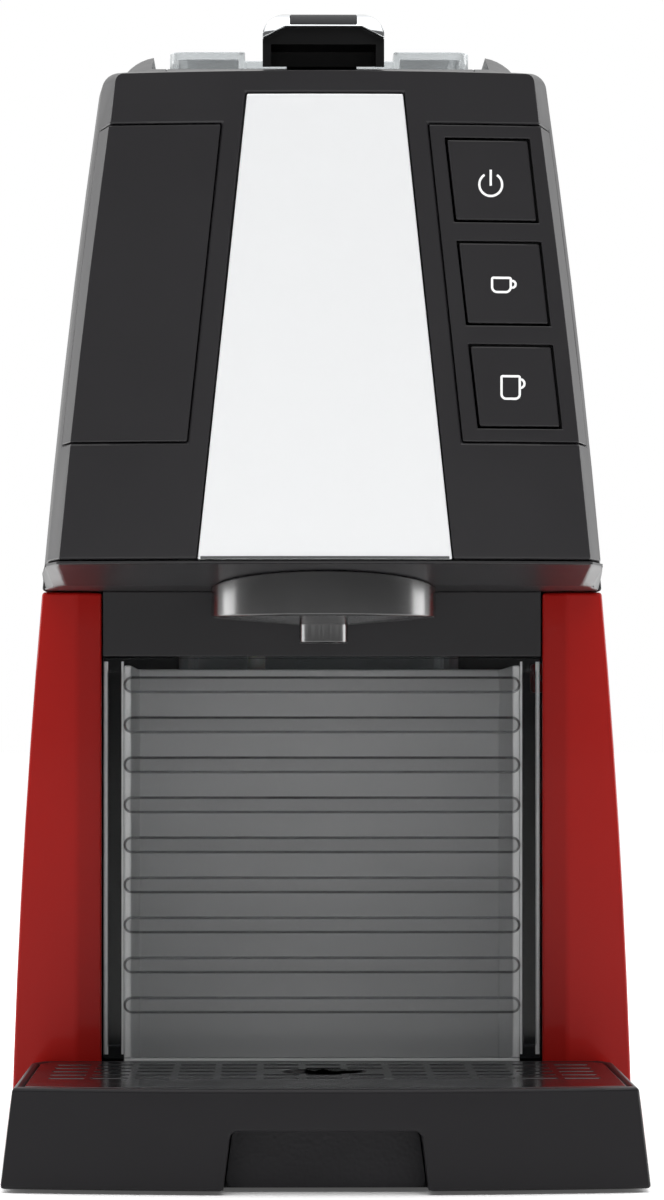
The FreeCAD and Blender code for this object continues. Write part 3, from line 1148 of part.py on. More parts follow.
def make_tank():
    """Water tank with its hinge ears, its valve, its lid and the lid's pin."""
    body = upright_block(TANK_HALF, TANK_FRONT, TANK_BACK, TANK_BOTTOM, TANK_TOP, TANK_CORNER)
    inside = upright_block(TANK_HALF - TANK_WALL, TANK_FRONT + TANK_WALL, TANK_BACK - TANK_WALL,
                           TANK_BOTTOM + TANK_WALL, TANK_TOP + CUT_OVER, TANK_CORNER - TANK_WALL)
    ear = box(EAR_INNER, EAR_INNER + EAR_THICK, TANK_BACK - TANK_WALL, LID_PIN_Y + KNUCKLE_RADIUS,
              TANK_TOP + SEAM, LID_PIN_Z + KNUCKLE_RADIUS)
    stalk = box(EAR_INNER, EAR_INNER + EAR_THICK, TANK_BACK - TANK_WALL, TANK_BACK, TANK_TOP - EAR_THICK,
                TANK_TOP + EAR_THICK / 2)
    tank = join(body.cut(inside), ear, stalk, mirrored(ear), mirrored(stalk))
    reach = EAR_INNER + EAR_THICK
    tank = tank.cut(rod((-FAR, LID_PIN_Y, LID_PIN_Z), (1, 0, 0), LID_HINGE_RADIUS + SHAFT_GAP, 2 * FAR))
    hole = (VALVE_X, VALVE_Y, TANK_BOTTOM - CUT_OVER)
    tank = tank.cut(rod(hole, (0, 0, 1), VALVE_RADIUS - SOCKET_WALL, TANK_WALL + 2 * CUT_OVER))
    stem_low = TANK_BOTTOM - SOCKET_DEPTH / 2
    valve = join(rod((VALVE_X, VALVE_Y, stem_low), (0, 0, 1), VALVE_RADIUS - SOCKET_WALL, VALVE_HEIGHT),
                 rod((VALVE_X, VALVE_Y, TANK_BOTTOM + TANK_WALL), (0, 0, 1), VALVE_RADIUS, SOCKET_WALL))
    pin = rod((-reach, LID_PIN_Y, LID_PIN_Z), (1, 0, 0), LID_HINGE_RADIUS, 2 * reach)
    return {"water_tank": tank, "tank_valve": valve, "tank_lid": lid_solid(), "lid_pin": pin}


def lid_solid():
    """Clear tank lid: a shallow cap with a front notch for the lever and a hinge knuckle."""
    shell = upright_block(LID_HALF, LID_FRONT, LID_BACK, LID_BOTTOM, LID_TOP, LID_CORNER)
    under = upright_block(LID_HALF - LID_WALL, LID_FRONT + LID_WALL, LID_BACK - LID_WALL,
                          LID_BOTTOM - CUT_OVER, LID_TOP - LID_WALL, LID_CORNER - LID_WALL)
    notch = box(-LID_NOTCH_HALF, LID_NOTCH_HALF, LID_FRONT - CUT_OVER, LID_NOTCH_BACK, 0, HIGH)
    rim_half = LID_NOTCH_HALF + LID_WALL
    keep = box(-rim_half, rim_half, LID_FRONT, LID_NOTCH_BACK + LID_WALL, LID_BOTTOM, LID_TOP)
    lid = shell.cut(under.cut(keep)).cut(notch)
    half = EAR_INNER - SLIDE_GAP
    knuckle = rod((-half, LID_PIN_Y, LID_PIN_Z), (1, 0, 0), KNUCKLE_RADIUS, 2 * half)
    web = box(-half, half, LID_BACK - LID_WALL, LID_PIN_Y, LID_PIN_Z - LID_WALL / 2, LID_PIN_Z + LID_WALL / 2)
    bore = rod((-FAR, LID_PIN_Y, LID_PIN_Z), (1, 0, 0), LID_HINGE_RADIUS, 2 * FAR)
    ear_room = box(half, EAR_INNER + EAR_THICK + SLIDE_GAP, LID_PIN_Y - 2 * KNUCKLE_RADIUS, REAR, 0, HIGH)
    return join(lid, knuckle, web).cut(bore).cut(ear_room).cut(mirrored(ear_room))


def make_dock():
    """Bench under the tank with the valve socket, and the seal in the socket."""
    half = TANK_HALF + 2 * DOCK_LEG
    plate = box(-half, half, TANK_FRONT, TANK_BACK, DOCK_LOW, DOCK_TOP)
    leg_back = REAR - INLET_DEPTH - DOCK_LEG
    leg = box(half - DOCK_LEG, half, TANK_FRONT, leg_back, PANEL_BOTTOM, DOCK_LOW)
    cup = rod((VALVE_X, VALVE_Y, SOCKET_LOW), (0, 0, 1), VALVE_RADIUS + SOCKET_WALL, SOCKET_DEPTH)
    well = rod((VALVE_X, VALVE_Y, SOCKET_LOW + SOCKET_WALL), (0, 0, 1), VALVE_RADIUS, HIGH)
    outlet = rod((VALVE_X, VALVE_Y, 0), (0, 0, 1), HOSE_RADIUS - SHAFT_GAP, HIGH)
    dock = join(plate, leg, mirrored(leg), cup).cut(well).cut(outlet)
    seal = rod((VALVE_X, VALVE_Y, SOCKET_LOW + SOCKET_WALL), (0, 0, 1), VALVE_RADIUS, SOCKET_WALL)
    seal = seal.cut(rod((VALVE_X, VALVE_Y, 0), (0, 0, 1), VALVE_RADIUS - SOCKET_WALL, HIGH))
    return {"tank_dock": dock, "dock_seal": seal}


def make_water_path():
    """Pump, flow meter, heater and the hoses between tank, pump, heater and injector."""
    coil_end = PUMP_Y + COIL_LENGTH
    pump_end = PUMP_Y + PUMP_LENGTH
    coil = box(PUMP_X - COIL_HALF, PUMP_X + COIL_HALF, PUMP_Y, coil_end,
               PUMP_AXIS - COIL_HALF, PUMP_AXIS + COIL_HALF)
    barrel = rod((PUMP_X, coil_end, PUMP_AXIS), (0, 1, 0), PUMP_RADIUS, PUMP_LENGTH - COIL_LENGTH)
    necks = rod((PUMP_X, PUMP_Y - PUMP_NECK, PUMP_AXIS), (0, 1, 0), 2 * HOSE_RADIUS,
                PUMP_LENGTH + 2 * PUMP_NECK)
    pump = join(coil, barrel, necks)
    mounts = []
    for y, top in ((PUMP_Y + MOUNT_LENGTH / 2, PUMP_AXIS - COIL_HALF),
                   (pump_end - 2 * MOUNT_LENGTH, PUMP_AXIS - PUMP_RADIUS)):
        mounts.append(box(PUMP_X - MOUNT_HALF, PUMP_X + MOUNT_HALF, y, y + MOUNT_LENGTH, PANEL_BOTTOM, top))
    meter = rod((VALVE_X, METER_Y, PANEL_BOTTOM), (0, 0, 1), METER_RADIUS, METER_HEIGHT)
    meter_top = PANEL_BOTTOM + METER_HEIGHT
    meter_mid = PANEL_BOTTOM + METER_HEIGHT / 2
    inlet_y = pump_end + PUMP_NECK
    outlet_y = PUMP_Y - PUMP_NECK
    tank_hose = tube([(VALVE_X, VALVE_Y, SOCKET_LOW), (VALVE_X, VALVE_Y, HOSE_LEVEL),
                      (VALVE_X, METER_Y, HOSE_LEVEL),
                      (VALVE_X, METER_Y, meter_top)], HOSE_RADIUS, HOSE_BEND)
    pump_hose = tube([(VALVE_X - METER_RADIUS, METER_Y, meter_mid), (PUMP_X, METER_Y, meter_mid),
                      (PUMP_X, METER_Y, PUMP_AXIS), (PUMP_X, inlet_y, PUMP_AXIS)], HOSE_RADIUS, HOSE_BEND)
    rise_y = outlet_y - HOSE_BEND - SEAM
    under_floor = HEAD_BOTTOM - 3 * HOSE_RADIUS
    heater_y = HEATER_FRONT + HEATER_DEPTH / 2
    heater_hose = tube([(PUMP_X, outlet_y, PUMP_AXIS), (PUMP_X, rise_y, PUMP_AXIS),
                        (PUMP_X, rise_y, under_floor), (PUMP_X, heater_y, under_floor),
                        (PUMP_X, heater_y, FLOOR_TOP)], HOSE_RADIUS, HOSE_BEND)
    heater_top = FLOOR_TOP + HEATER_HEIGHT
    brew_hose = tube([(0, heater_y, heater_top), (0, heater_y, CAGE_AXIS), (0, INJECTOR_BACK, CAGE_AXIS)],
                     HOSE_RADIUS, 2 * HOSE_BEND)
    heater = box(-HEATER_HALF, HEATER_HALF, HEATER_FRONT, HEATER_FRONT + HEATER_DEPTH, FLOOR_TOP, heater_top)
    for index in range(1, 5):
        z = FLOOR_TOP + index * HEATER_HEIGHT / 5
        groove = box(-FAR, FAR, HEATER_FRONT + HEATER_DEPTH - HEATER_RIB, REAR, z, z + HEATER_RIB)
        heater = heater.cut(groove)
    stats = []
    for x in (-HEATER_HALF / 2, HEATER_HALF / 2):
        stats.append(rod((x, heater_y, heater_top), (0, 0, 1), THERMOSTAT_RADIUS, THERMOSTAT_HEIGHT))
    return {"pump": pump, "pump_mounts": Part.makeCompound(mounts), "flow_meter": meter,
            "tank_hose": tank_hose,
            "pump_hose": pump_hose, "heater_hose": heater_hose, "brew_hose": brew_hose, "thermoblock": heater,
            "thermostats": Part.makeCompound(stats)}


def hose_passage():
    """Hole through the floor under the heater for its hose."""
    return rod((PUMP_X, HEATER_FRONT + HEATER_DEPTH / 2, 0), (0, 0, 1), HOSE_RADIUS + SEAM, HIGH)


def make_electrics():
    """Power board beside the pump and the switch that the brew frame carries."""
    front = BOARD_REAR - BOARD_LENGTH
    board = box(BOARD_X, BOARD_X + BOARD, front, BOARD_REAR, PANEL_BOTTOM, PANEL_BOTTOM + BOARD_HEIGHT)
    step = BOARD_LENGTH / 4
    can = rod((BOARD_X - step, front + step, PANEL_BOTTOM + BOARD_HEIGHT - step), (1, 0, 0), step / 3, step)
    relay = box(BOARD_X + BOARD, BOARD_X + BOARD + step, front + step, front + 2 * step,
                PANEL_BOTTOM + step, PANEL_BOTTOM + 2 * step)
    coil = box(BOARD_X + BOARD, BOARD_X + BOARD + step, front + 2.5 * step, BOARD_REAR - SEAM,
               PANEL_BOTTOM + step, PANEL_BOTTOM + 3 * step)
    switch = box(FRAME_OUTER, FRAME_OUTER + SWITCH_DEEP, FRAME_FRONT + SWITCH_DEEP,
                 FRAME_FRONT + SWITCH_DEEP + SWITCH_LENGTH, CAGE_AXIS, CAGE_AXIS + SWITCH_TALL)
    return {"power_board": join(board, can, relay, coil), "lever_switch": switch}


def lug_x(z, wall):
    """Middle of a screw lug on the inside of the right-hand wall."""
    return half_width(z) - wall - LUG / 2 + CUT_OVER


def lug_solid(z, wall):
    """Screw lug on the inside of the right-hand wall, drilled for its screw."""
    x = lug_x(z, wall)
    lug = box(x - LUG / 2, x + LUG / 2 - CUT_OVER / 4, CASE_BACK - LUG, CASE_BACK, z - LUG / 2, z + LUG / 2)
    return lug.cut(rod((x, 0, z), (0, 1, 0), SCREW_RADIUS, REAR))


def lug_walls():
    """Height and wall thickness for each pair of casing screws."""
    return [(z, PANEL_WALL if z < HEAD_BOTTOM else WALL) for z in LUG_LEVELS]


def make_screws():
    """Casing screws, sunk into the rear cover."""
    screws = []
    for z, wall in lug_walls():
        for x in (-lug_x(z, wall), lug_x(z, wall)):
            head = rod((x, REAR - SCREW_SINK, z), (0, 1, 0), SCREW_HEAD, SCREW_SINK)
            shank = rod((x, CASE_BACK - LUG, z), (0, 1, 0), SCREW_RADIUS, REAR - SCREW_SINK - CASE_BACK + LUG)
            screws.append(join(head, shank))
    return {"casing_screws": Part.makeCompound(screws)}


def fasten(made):
    """Add what the screws, posts and hoses need to the casing pieces that carry them."""
    for z, wall in lug_walls():
        right = lug_solid(z, wall)
        if z < HEAD_BOTTOM:
            made["side_panel_right"] = join(made["side_panel_right"], right)
            made["side_panel_left"] = join(made["side_panel_left"], mirrored(right))
        else:
            made["head_shell"] = join(made["head_shell"], right, mirrored(right))
        for x in (-lug_x(z, wall), lug_x(z, wall)):
            sink = join(rod((x, REAR - SCREW_SINK, z), (0, 1, 0), SCREW_HEAD + SHAFT_GAP,
                            SCREW_SINK + CUT_OVER),
                        rod((x, CASE_BACK, z), (0, 1, 0), SCREW_RADIUS + SHAFT_GAP, REAR))
            made["rear_cover"] = made["rear_cover"].cut(sink)
    made["head_shell"] = join(made["head_shell"], *post_solids())
    made["underside_cap"] = made["underside_cap"].cut(hose_passage())


def main():
    """Make every piece and write one file for each."""
    made = {}
    for maker in (make_casing, make_undercap, make_columns, make_base, make_back_panel, make_rear, make_spout,
                  make_chute, make_frame, make_injector, make_cage, make_lever, make_buttons, make_control,
                  make_tray, make_bin, make_plate, make_tank, make_dock, make_water_path, make_electrics,
                  make_screws):
        made.update(maker())
    fasten(made)
    os.makedirs("parts", exist_ok=True)
    for name, shape in made.items():
        shape.exportStep("parts/" + name + ".step")


main()
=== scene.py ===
"""Looks of a pod coffee machine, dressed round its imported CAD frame."""

import logging
import math
from dataclasses import dataclass, field
from enum import Enum
from typing import Any, Iterable, Sequence

import bmesh
import bpy
from mathutils import Matrix, Vector
from mathutils.bvhtree import BVHTree


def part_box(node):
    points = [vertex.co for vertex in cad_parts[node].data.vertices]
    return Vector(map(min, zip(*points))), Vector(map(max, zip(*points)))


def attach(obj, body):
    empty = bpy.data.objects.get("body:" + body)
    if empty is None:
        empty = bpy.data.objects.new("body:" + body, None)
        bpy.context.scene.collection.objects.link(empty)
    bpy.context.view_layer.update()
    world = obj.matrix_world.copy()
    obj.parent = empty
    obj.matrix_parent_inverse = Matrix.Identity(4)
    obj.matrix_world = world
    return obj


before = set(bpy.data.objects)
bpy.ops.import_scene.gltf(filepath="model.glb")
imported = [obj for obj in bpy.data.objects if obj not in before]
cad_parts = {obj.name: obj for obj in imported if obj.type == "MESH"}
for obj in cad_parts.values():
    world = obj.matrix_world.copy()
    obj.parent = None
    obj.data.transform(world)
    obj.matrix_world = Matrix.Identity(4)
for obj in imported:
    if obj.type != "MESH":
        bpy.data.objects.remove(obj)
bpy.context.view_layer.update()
LOG = logging.getLogger("coffee_machine")
MM = 0.001

Point = tuple[float, float]


class Slot(Enum):
    """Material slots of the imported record."""

    RED_GLOSS = "red_gloss"
    BLACK_SATIN = "black_satin"
    BLACK_GLOSS = "black_gloss"
    SILVER_PANEL = "silver_panel"
    CHROME_PLATE = "chrome_plate"
    SMOKED_CLEAR = "smoked_clear"
    CLEAR_PLASTIC = "clear_plastic"
    GREY_PLASTIC = "grey_plastic"
    RUBBER = "rubber"
    STEEL = "steel"
    ALUMINIUM = "aluminium"
    HOSE = "hose"
    CIRCUIT_BOARD = "circuit_board"


class Body(Enum):
    """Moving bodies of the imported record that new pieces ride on."""

    MACHINE = "machine"
    POWER_BUTTON = "power_button"
    SMALL_CUP_BUTTON = "small_cup_button"
    LARGE_CUP_BUTTON = "large_cup_button"
    DRAWER = "drawer"


def linear(code: str) -> tuple[float, float, float, float]:
    """Turns an sRGB hex colour into linear light.

    Args:
        code: Six hex digits, such as "a02018".

    Returns:
        Linear red, green, blue and an alpha of one.
    """
    parts = [int(code[i:i + 2], 16) / 255 for i in (0, 2, 4)]
    red, green, blue = (c / 12.92 if c <= 0.04045 else ((c + 0.055) / 1.055) ** 2.4 for c in parts)
    return red, green, blue, 1.0


def per_metre(size_mm: float) -> float:
    """Turns a spacing into a pattern scale.

    Args:
        size_mm: Distance in which the pattern repeats about once, in millimetres.

    Returns:
        Repeats in a metre.
    """
    return 1 / (size_mm * MM)


def add_node(tree: bpy.types.NodeTree, kind: str, inputs: dict[str | int, Any] | None = None,
             **settings: Any) -> bpy.types.Node:
    """Adds one node to a tree, with its settings, values and links.

    Args:
        tree: Node tree that takes the node.
        kind: Blender's name of the node type.
        inputs: Input socket to a constant value, or to the output socket that feeds it.
        **settings: Attributes of the node itself.

    Returns:
        The new node.
    """
    node = tree.nodes.new(kind)
    for key, value in settings.items():
        setattr(node, key, value)
    for key, value in (inputs or {}).items():
        if isinstance(value, bpy.types.NodeSocket):
            tree.links.new(value, node.inputs[key])
        else:
            node.inputs[key].default_value = value
    return node


@dataclass(frozen=True)
class Finish:
    """A real surface of the machine, as a procedural material.

    Attributes:
        name: What the surface is made of and how.
        colour: Main colour, sRGB hex.
        shade: Second colour that the surface drifts to, sRGB hex.
        roughness: Middle roughness of the shader.
        spread: How far handling and moulding move the roughness either way.
        grain_mm: Spacing of the fine relief.
        relief_mm: Height of the fine relief.
        drift_mm: Spacing of the slow change of colour and roughness.
        shine: Strength of the mirror-like part, one half for plain plastic.
    """

    name: str
    colour: str
    shade: str
    roughness: float
    spread: float
    grain_mm: float
    relief_mm: float
    drift_mm: float
    shine: float = 0.5

    def sockets(self, tree: bpy.types.NodeTree) -> dict[str, Any]:
        """Gives the shader its values for plain plastic.

        Args:
            tree: Node tree of the material.

        Returns:
            Values and sockets by the shader's input names.
        """
        return {"IOR": 1.5, "Specular IOR Level": self.shine}

    def relief(self, tree: bpy.types.NodeTree, place: bpy.types.NodeSocket) -> bpy.types.NodeSocket:
        """Adds the pattern that the fine relief follows.

        Args:
            tree: Node tree of the material.
            place: Position on the part, in metres.

        Returns:
            Height socket, from zero to one.
        """
        return add_node(tree, "ShaderNodeTexNoise", {
            "Vector": place, "Scale": per_metre(self.grain_mm), "Detail": 2.0}).outputs["Fac"]

    def material(self) -> bpy.types.Material:
        """Makes the material.

        Returns:
            A node material with drifting colour, drifting roughness and fine relief.
        """
        made = bpy.data.materials.new(self.name)
        made.use_nodes = True
        tree = made.node_tree
        tree.nodes.clear()
        place = add_node(tree, "ShaderNodeTexCoord").outputs["Object"]
        drift = add_node(tree, "ShaderNodeTexNoise", {
            "Vector": place, "Scale": per_metre(self.drift_mm), "Detail": 3.0}).outputs["Fac"]
        colour = add_node(tree, "ShaderNodeMix", {
            "Factor": drift, 6: linear(self.colour), 7: linear(self.shade)}, data_type="RGBA").outputs[2]
        gloss = add_node(tree, "ShaderNodeMapRange", {
            "Value": drift, "From Min": 0.3, "From Max": 0.7,
            "To Min": self.roughness - self.spread, "To Max": self.roughness + self.spread}).outputs["Result"]
        bump = add_node(tree, "ShaderNodeBump", {
            "Height": self.relief(tree, place), "Distance": self.relief_mm * MM, "Strength": 1.0})
        shader = add_node(tree, "ShaderNodeBsdfPrincipled", {
            "Base Color": colour, "Roughness": gloss, "Normal": bump.outputs["Normal"], **self.sockets(tree)})
        add_node(tree, "ShaderNodeOutputMaterial", {"Surface": shader.outputs["BSDF"]})
        return made


@dataclass(frozen=True)
class GlossPlastic(Finish):
    """Plastic from a polished mould, with a clear hard skin over the colour."""

    skin: float = 0.5

    def sockets(self, tree: bpy.types.NodeTree) -> dict[str, Any]:
        """Gives the shader its values for polished plastic.

        Args:
            tree: Node tree of the material.

        Returns:
            Values and sockets by the shader's input names.
        """
        return {**super().sockets(tree), "Coat Weight": self.skin, "Coat Roughness": 0.04, "Coat IOR": 1.5}


@dataclass(frozen=True)
class PebbledPlastic(Finish):
    """Plastic from an etched mould, with a pebbled grip face."""

    def relief(self, tree: bpy.types.NodeTree, place: bpy.types.NodeSocket) -> bpy.types.NodeSocket:
        """Adds rounded pebbles, one per grain spacing.

        Args:
            tree: Node tree of the material.
            place: Position on the part, in metres.

        Returns:
            Height socket, from zero to one.
        """
        return add_node(tree, "ShaderNodeTexVoronoi", {
            "Vector": place, "Scale": per_metre(self.grain_mm)}, feature="SMOOTH_F1").outputs["Distance"]


@dataclass(frozen=True)
class ClearPlastic(Finish):
    """See-through moulded sheet: clear when looked through squarely, denser along its edges.

    Attributes:
        veil: Share of the view that a square look through one face stops.
        rim: The same share where the face is seen on edge.
    """

    veil: float = 0.1
    rim: float = 0.6

    def sockets(self, tree: bpy.types.NodeTree) -> dict[str, Any]:
        """Gives the shader its values for see-through plastic.

        Args:
            tree: Node tree of the material.

        Returns:
            Values and sockets by the shader's input names.
        """
        facing = add_node(tree, "ShaderNodeLayerWeight", {"Blend": 0.3}).outputs["Facing"]
        cover = add_node(tree, "ShaderNodeMapRange", {
            "Value": facing, "From Min": 0.0, "From Max": 0.8, "To Min": self.veil, "To Max": self.rim})
        return {"IOR": 1.57, "Alpha": cover.outputs["Result"], "Specular IOR Level": self.shine}


@dataclass(frozen=True)
class MilkySilicone(Finish):
    """Cloudy silicone hose, which lets light into its wall."""

    def sockets(self, tree: bpy.types.NodeTree) -> dict[str, Any]:
        """Gives the shader its values for cloudy silicone.

        Args:
            tree: Node tree of the material.

        Returns:
            Values and sockets by the shader's input names.
        """
        return {"IOR": 1.41, "Transmission Weight": 0.35, "Subsurface Weight": 0.4, "Subsurface Scale": 0.002}


@dataclass(frozen=True)
class Metal(Finish):
    """Bare or plated metal."""

    metallic: float = 1.0

    def sockets(self, tree: bpy.types.NodeTree) -> dict[str, Any]:
        """Gives the shader its values for metal.

        Args:
            tree: Node tree of the material.

        Returns:
            Values and sockets by the shader's input names.
        """
        return {"Metallic": self.metallic}


@dataclass(frozen=True)
class BrushedMetal(Metal):
    """Metal sheet or bar with fine lines along the X axis."""

    def relief(self, tree: bpy.types.NodeTree, place: bpy.types.NodeSocket) -> bpy.types.NodeSocket:
        """Adds lines that are forty times as long as they are wide.

        Args:
            tree: Node tree of the material.
            place: Position on the part, in metres.

        Returns:
            Height socket, from zero to one.
        """
        drawn = add_node(tree, "ShaderNodeMapping", {"Vector": place, "Scale": (0.025, 1.0, 1.0)})
        return add_node(tree, "ShaderNodeTexNoise", {
            "Vector": drawn.outputs["Vector"], "Scale": per_metre(self.grain_mm),
            "Detail": 3.0}).outputs["Fac"]


@dataclass(frozen=True)
class GlowingPaper(Finish):
    """White paper sweep, lit through from below so that it stays white far away."""

    glow: float = 0.08

    def sockets(self, tree: bpy.types.NodeTree) -> dict[str, Any]:
        """Gives the shader its values for the lit paper.

        Args:
            tree: Node tree of the material.

        Returns:
            Values and sockets by the shader's input names.
        """
        return {"IOR": 1.5, "Emission Color": (1.0, 1.0, 1.0, 1.0), "Emission Strength": self.glow}


@dataclass(frozen=True)
class BoardLaminate(Finish):
    """Glass-fibre board under solder mask, with a faint grid of glass cloth."""

    def relief(self, tree: bpy.types.NodeTree, place: bpy.types.NodeSocket) -> bpy.types.NodeSocket:
        """Adds the square weave of the glass cloth.

        Args:
            tree: Node tree of the material.
            place: Position on the part, in metres.

        Returns:
            Height socket, from zero to one.
        """
        return add_node(tree, "ShaderNodeTexBrick", {
            "Vector": place, "Scale": per_metre(self.grain_mm), "Brick Width": 1.0, "Row Height": 1.0},
            offset=0.0).outputs["Fac"]


# Moulded ABS from a spark-eroded tool: dark grey-black with a soft, even sheen. The real grain of
# about 0.1 mm is drawn at 0.45 mm so that it shows.
SATIN_ABS = Finish("satin_moulded_black_abs", "1e1d1f", "222123", 0.34, 0.03, 0.45, 0.0008, 45.0, 0.3)
# The same ABS from an etched tool: small round pebbles that break up the light in the finger notch.
PEBBLED_ABS = PebbledPlastic("pebbled_moulded_black_abs", "1b1a1d", "161518", 0.5, 0.05, 1.1, 0.09, 30.0,
                             0.25)
# Deep black ABS of the lever: soaks up nearly all light.
DEEP_ABS = Finish("satin_moulded_deep_black_abs", "0c0c0d", "0f0f10", 0.35, 0.03, 0.45, 0.0008, 30.0, 0.2)
# Black ABS of the spout: shiny, with soft upright highlights where the tool marks spread them.
SPOUT_ABS = Finish("soft_gloss_black_abs", "101011", "141415", 0.2, 0.03, 8.0, 0.004, 35.0, 1.0)
# Black ABS of the drip tray: a little deeper and duller than the head.
TRAY_ABS = Finish("dull_moulded_black_abs", "1a191b", "1e1d1f", 0.34, 0.03, 0.45, 0.0008, 45.0, 0.15)
# Black ABS of the drip plate: shiny, but dulled by cups.
PLATE_ABS = Finish("worn_gloss_black_abs", "121213", "18181a", 0.2, 0.04, 8.0, 0.004, 35.0, 0.32)
# Blackened steel of the casing screws: dark, dull and slightly mottled.
BLACK_STEEL = Metal("blackened_steel", "4a4b4d", "3d3e40", 0.45, 0.06, 0.6, 0.004, 4.0)
# Black film let into the chrome: dark with a dull shine.
BLACK_FILM = Finish("inlaid_black_film", "1c1d1f", "202123", 0.4, 0.03, 6.0, 0.004, 20.0, 0.12)
# Natural polypropylene of the pod bin: nearly white and waxy.
PALE_PP = Finish("moulded_pale_polypropylene", "f2f3f4", "eceded", 0.42, 0.05, 1.0, 0.006, 25.0)
# Pad-printed ink: flat white, a hair proud of the button.
PRINT_INK = Finish("pad_printed_white_ink", "f4f4f4", "ececec", 0.45, 0.05, 0.5, 0.002, 12.0)

FINISHES: dict[Slot, Finish] = {
    # Moulded ABS from a polished tool: saturated red with a soft sheen that waves slightly.
    Slot.RED_GLOSS: GlossPlastic("gloss_moulded_red_abs", "9c130d", "93110c", 0.34, 0.03, 14.0, 0.02, 70.0,
                                 0.15, 0.06),
    Slot.BLACK_SATIN: SATIN_ABS,
    # Piano-black ABS: mirror-like, nearly no colour of its own.
    Slot.BLACK_GLOSS: GlossPlastic("polished_black_abs", "0f0f10", "141415", 0.14, 0.03, 11.0, 0.012, 40.0),
    # Silver lacquer sprayed on ABS: pale, with flakes too fine to see singly, drawn at 0.5 mm.
    Slot.SILVER_PANEL: Metal("sprayed_silver_lacquer", "e8e9ea", "e1e2e3", 0.34, 0.03, 0.5, 0.002, 90.0,
                             metallic=0.25),
    # Chrome plated on ABS: a bright mirror with the moulding's slow waves under it.
    Slot.CHROME_PLATE: Metal("plated_chrome_on_abs", "c6c8ca", "bec0c2", 0.07, 0.02, 9.0, 0.01, 30.0),
    # Smoke-tinted polycarbonate: dark but see-through, with rib edges that close to black lines.
    Slot.SMOKED_CLEAR: ClearPlastic("moulded_smoked_polycarbonate", "303234", "34363a", 0.08, 0.02, 12.0,
                                    0.01, 50.0, 1.0, 0.07, 1.0),
    # Clear styrene copolymer: water-clear with polished faces and greyish edges.
    Slot.CLEAR_PLASTIC: ClearPlastic("moulded_clear_san", "e4e9eb", "dde3e5", 0.05, 0.015, 12.0, 0.008, 50.0,
                                     1.0, 0.14, 0.92),
    # Natural grey polypropylene: waxy, with faint flow marks.
    Slot.GREY_PLASTIC: Finish("moulded_grey_polypropylene", "8d8f91", "86888a", 0.42, 0.06, 1.0, 0.006, 25.0),
    # Moulded nitrile rubber: matt, slightly dusty.
    Slot.RUBBER: Finish("moulded_nitrile_rubber", "1a1a1a", "242423", 0.72, 0.08, 0.6, 0.02, 9.0),
    # Rolled stainless steel: fine lines from the rolls.
    Slot.STEEL: BrushedMetal("rolled_stainless_steel", "b9b9b6", "a8a8a5", 0.36, 0.06, 0.35, 0.003, 15.0),
    # Die-cast aluminium: pale grey, grainy from the die.
    Slot.ALUMINIUM: Metal("die_cast_aluminium", "a9abad", "999b9e", 0.46, 0.07, 0.8, 0.02, 14.0),
    # Extruded silicone tube: cloudy white.
    Slot.HOSE: MilkySilicone("extruded_cloudy_silicone", "d9dad6", "cfd1cc", 0.38, 0.05, 2.5, 0.01, 20.0),
    # Glass-fibre board under green solder mask.
    Slot.CIRCUIT_BOARD: BoardLaminate("masked_glass_fibre_board", "1d5a33", "174a2a", 0.35, 0.05, 0.8, 0.006,
                                      18.0),
}


JOINED_WITHIN = 1e-6   # corners closer than this are one, in metres
FLAT_WITHIN_DEG = 0.4  # faces that turn less than this are one
CRISP_DEG = 28.0       # edges that turn more than this are rounded
ANY_HEIGHT = 1000.0    # above the whole machine, in millimetres


def edge_picker(angle_deg: float, below_mm: float) -> bpy.types.NodeTree:
    """Makes the node group that picks the edges to round.

    Args:
        angle_deg: Edges that turn more than this are picked.
        below_mm: Edges above this height are left crisp.

    Returns:
        A geometry node group that writes the bevel weight of each edge.
    """
    tree = bpy.data.node_groups.new("edges_to_round", "GeometryNodeTree")
    tree.interface.new_socket("Geometry", in_out="INPUT", socket_type="NodeSocketGeometry")
    tree.interface.new_socket("Geometry", in_out="OUTPUT", socket_type="NodeSocketGeometry")
    turn = add_node(tree, "GeometryNodeInputMeshEdgeAngle").outputs["Unsigned Angle"]
    place = add_node(tree, "GeometryNodeInputPosition").outputs["Position"]
    height = add_node(tree, "ShaderNodeSeparateXYZ", {"Vector": place}).outputs["Z"]
    crisp = add_node(tree, "ShaderNodeMath", {
        0: turn, 1: math.radians(angle_deg)}, operation="GREATER_THAN")
    low = add_node(tree, "ShaderNodeMath", {0: height, 1: below_mm * MM}, operation="LESS_THAN")
    both = add_node(tree, "ShaderNodeMath", {
        0: crisp.outputs[0], 1: low.outputs[0]}, operation="MULTIPLY")
    mesh = add_node(tree, "NodeGroupInput").outputs["Geometry"]
    kept = add_node(tree, "ShaderNodeMath", {
        0: crisp.outputs[0], 1: both.outputs[0]}, operation="GREATER_THAN")
    stored = add_node(tree, "GeometryNodeStoreNamedAttribute", {
        "Geometry": mesh, "Name": "bevel_weight_edge", "Value": both.outputs[0]},
        data_type="FLOAT", domain="EDGE")
    shaded = add_node(tree, "GeometryNodeSetShadeSmooth", {
        "Geometry": stored.outputs["Geometry"], "Selection": kept.outputs[0], "Shade Smooth": False},
        domain="EDGE")
    add_node(tree, "NodeGroupOutput", {"Geometry": shaded.outputs["Geometry"]})
    return tree


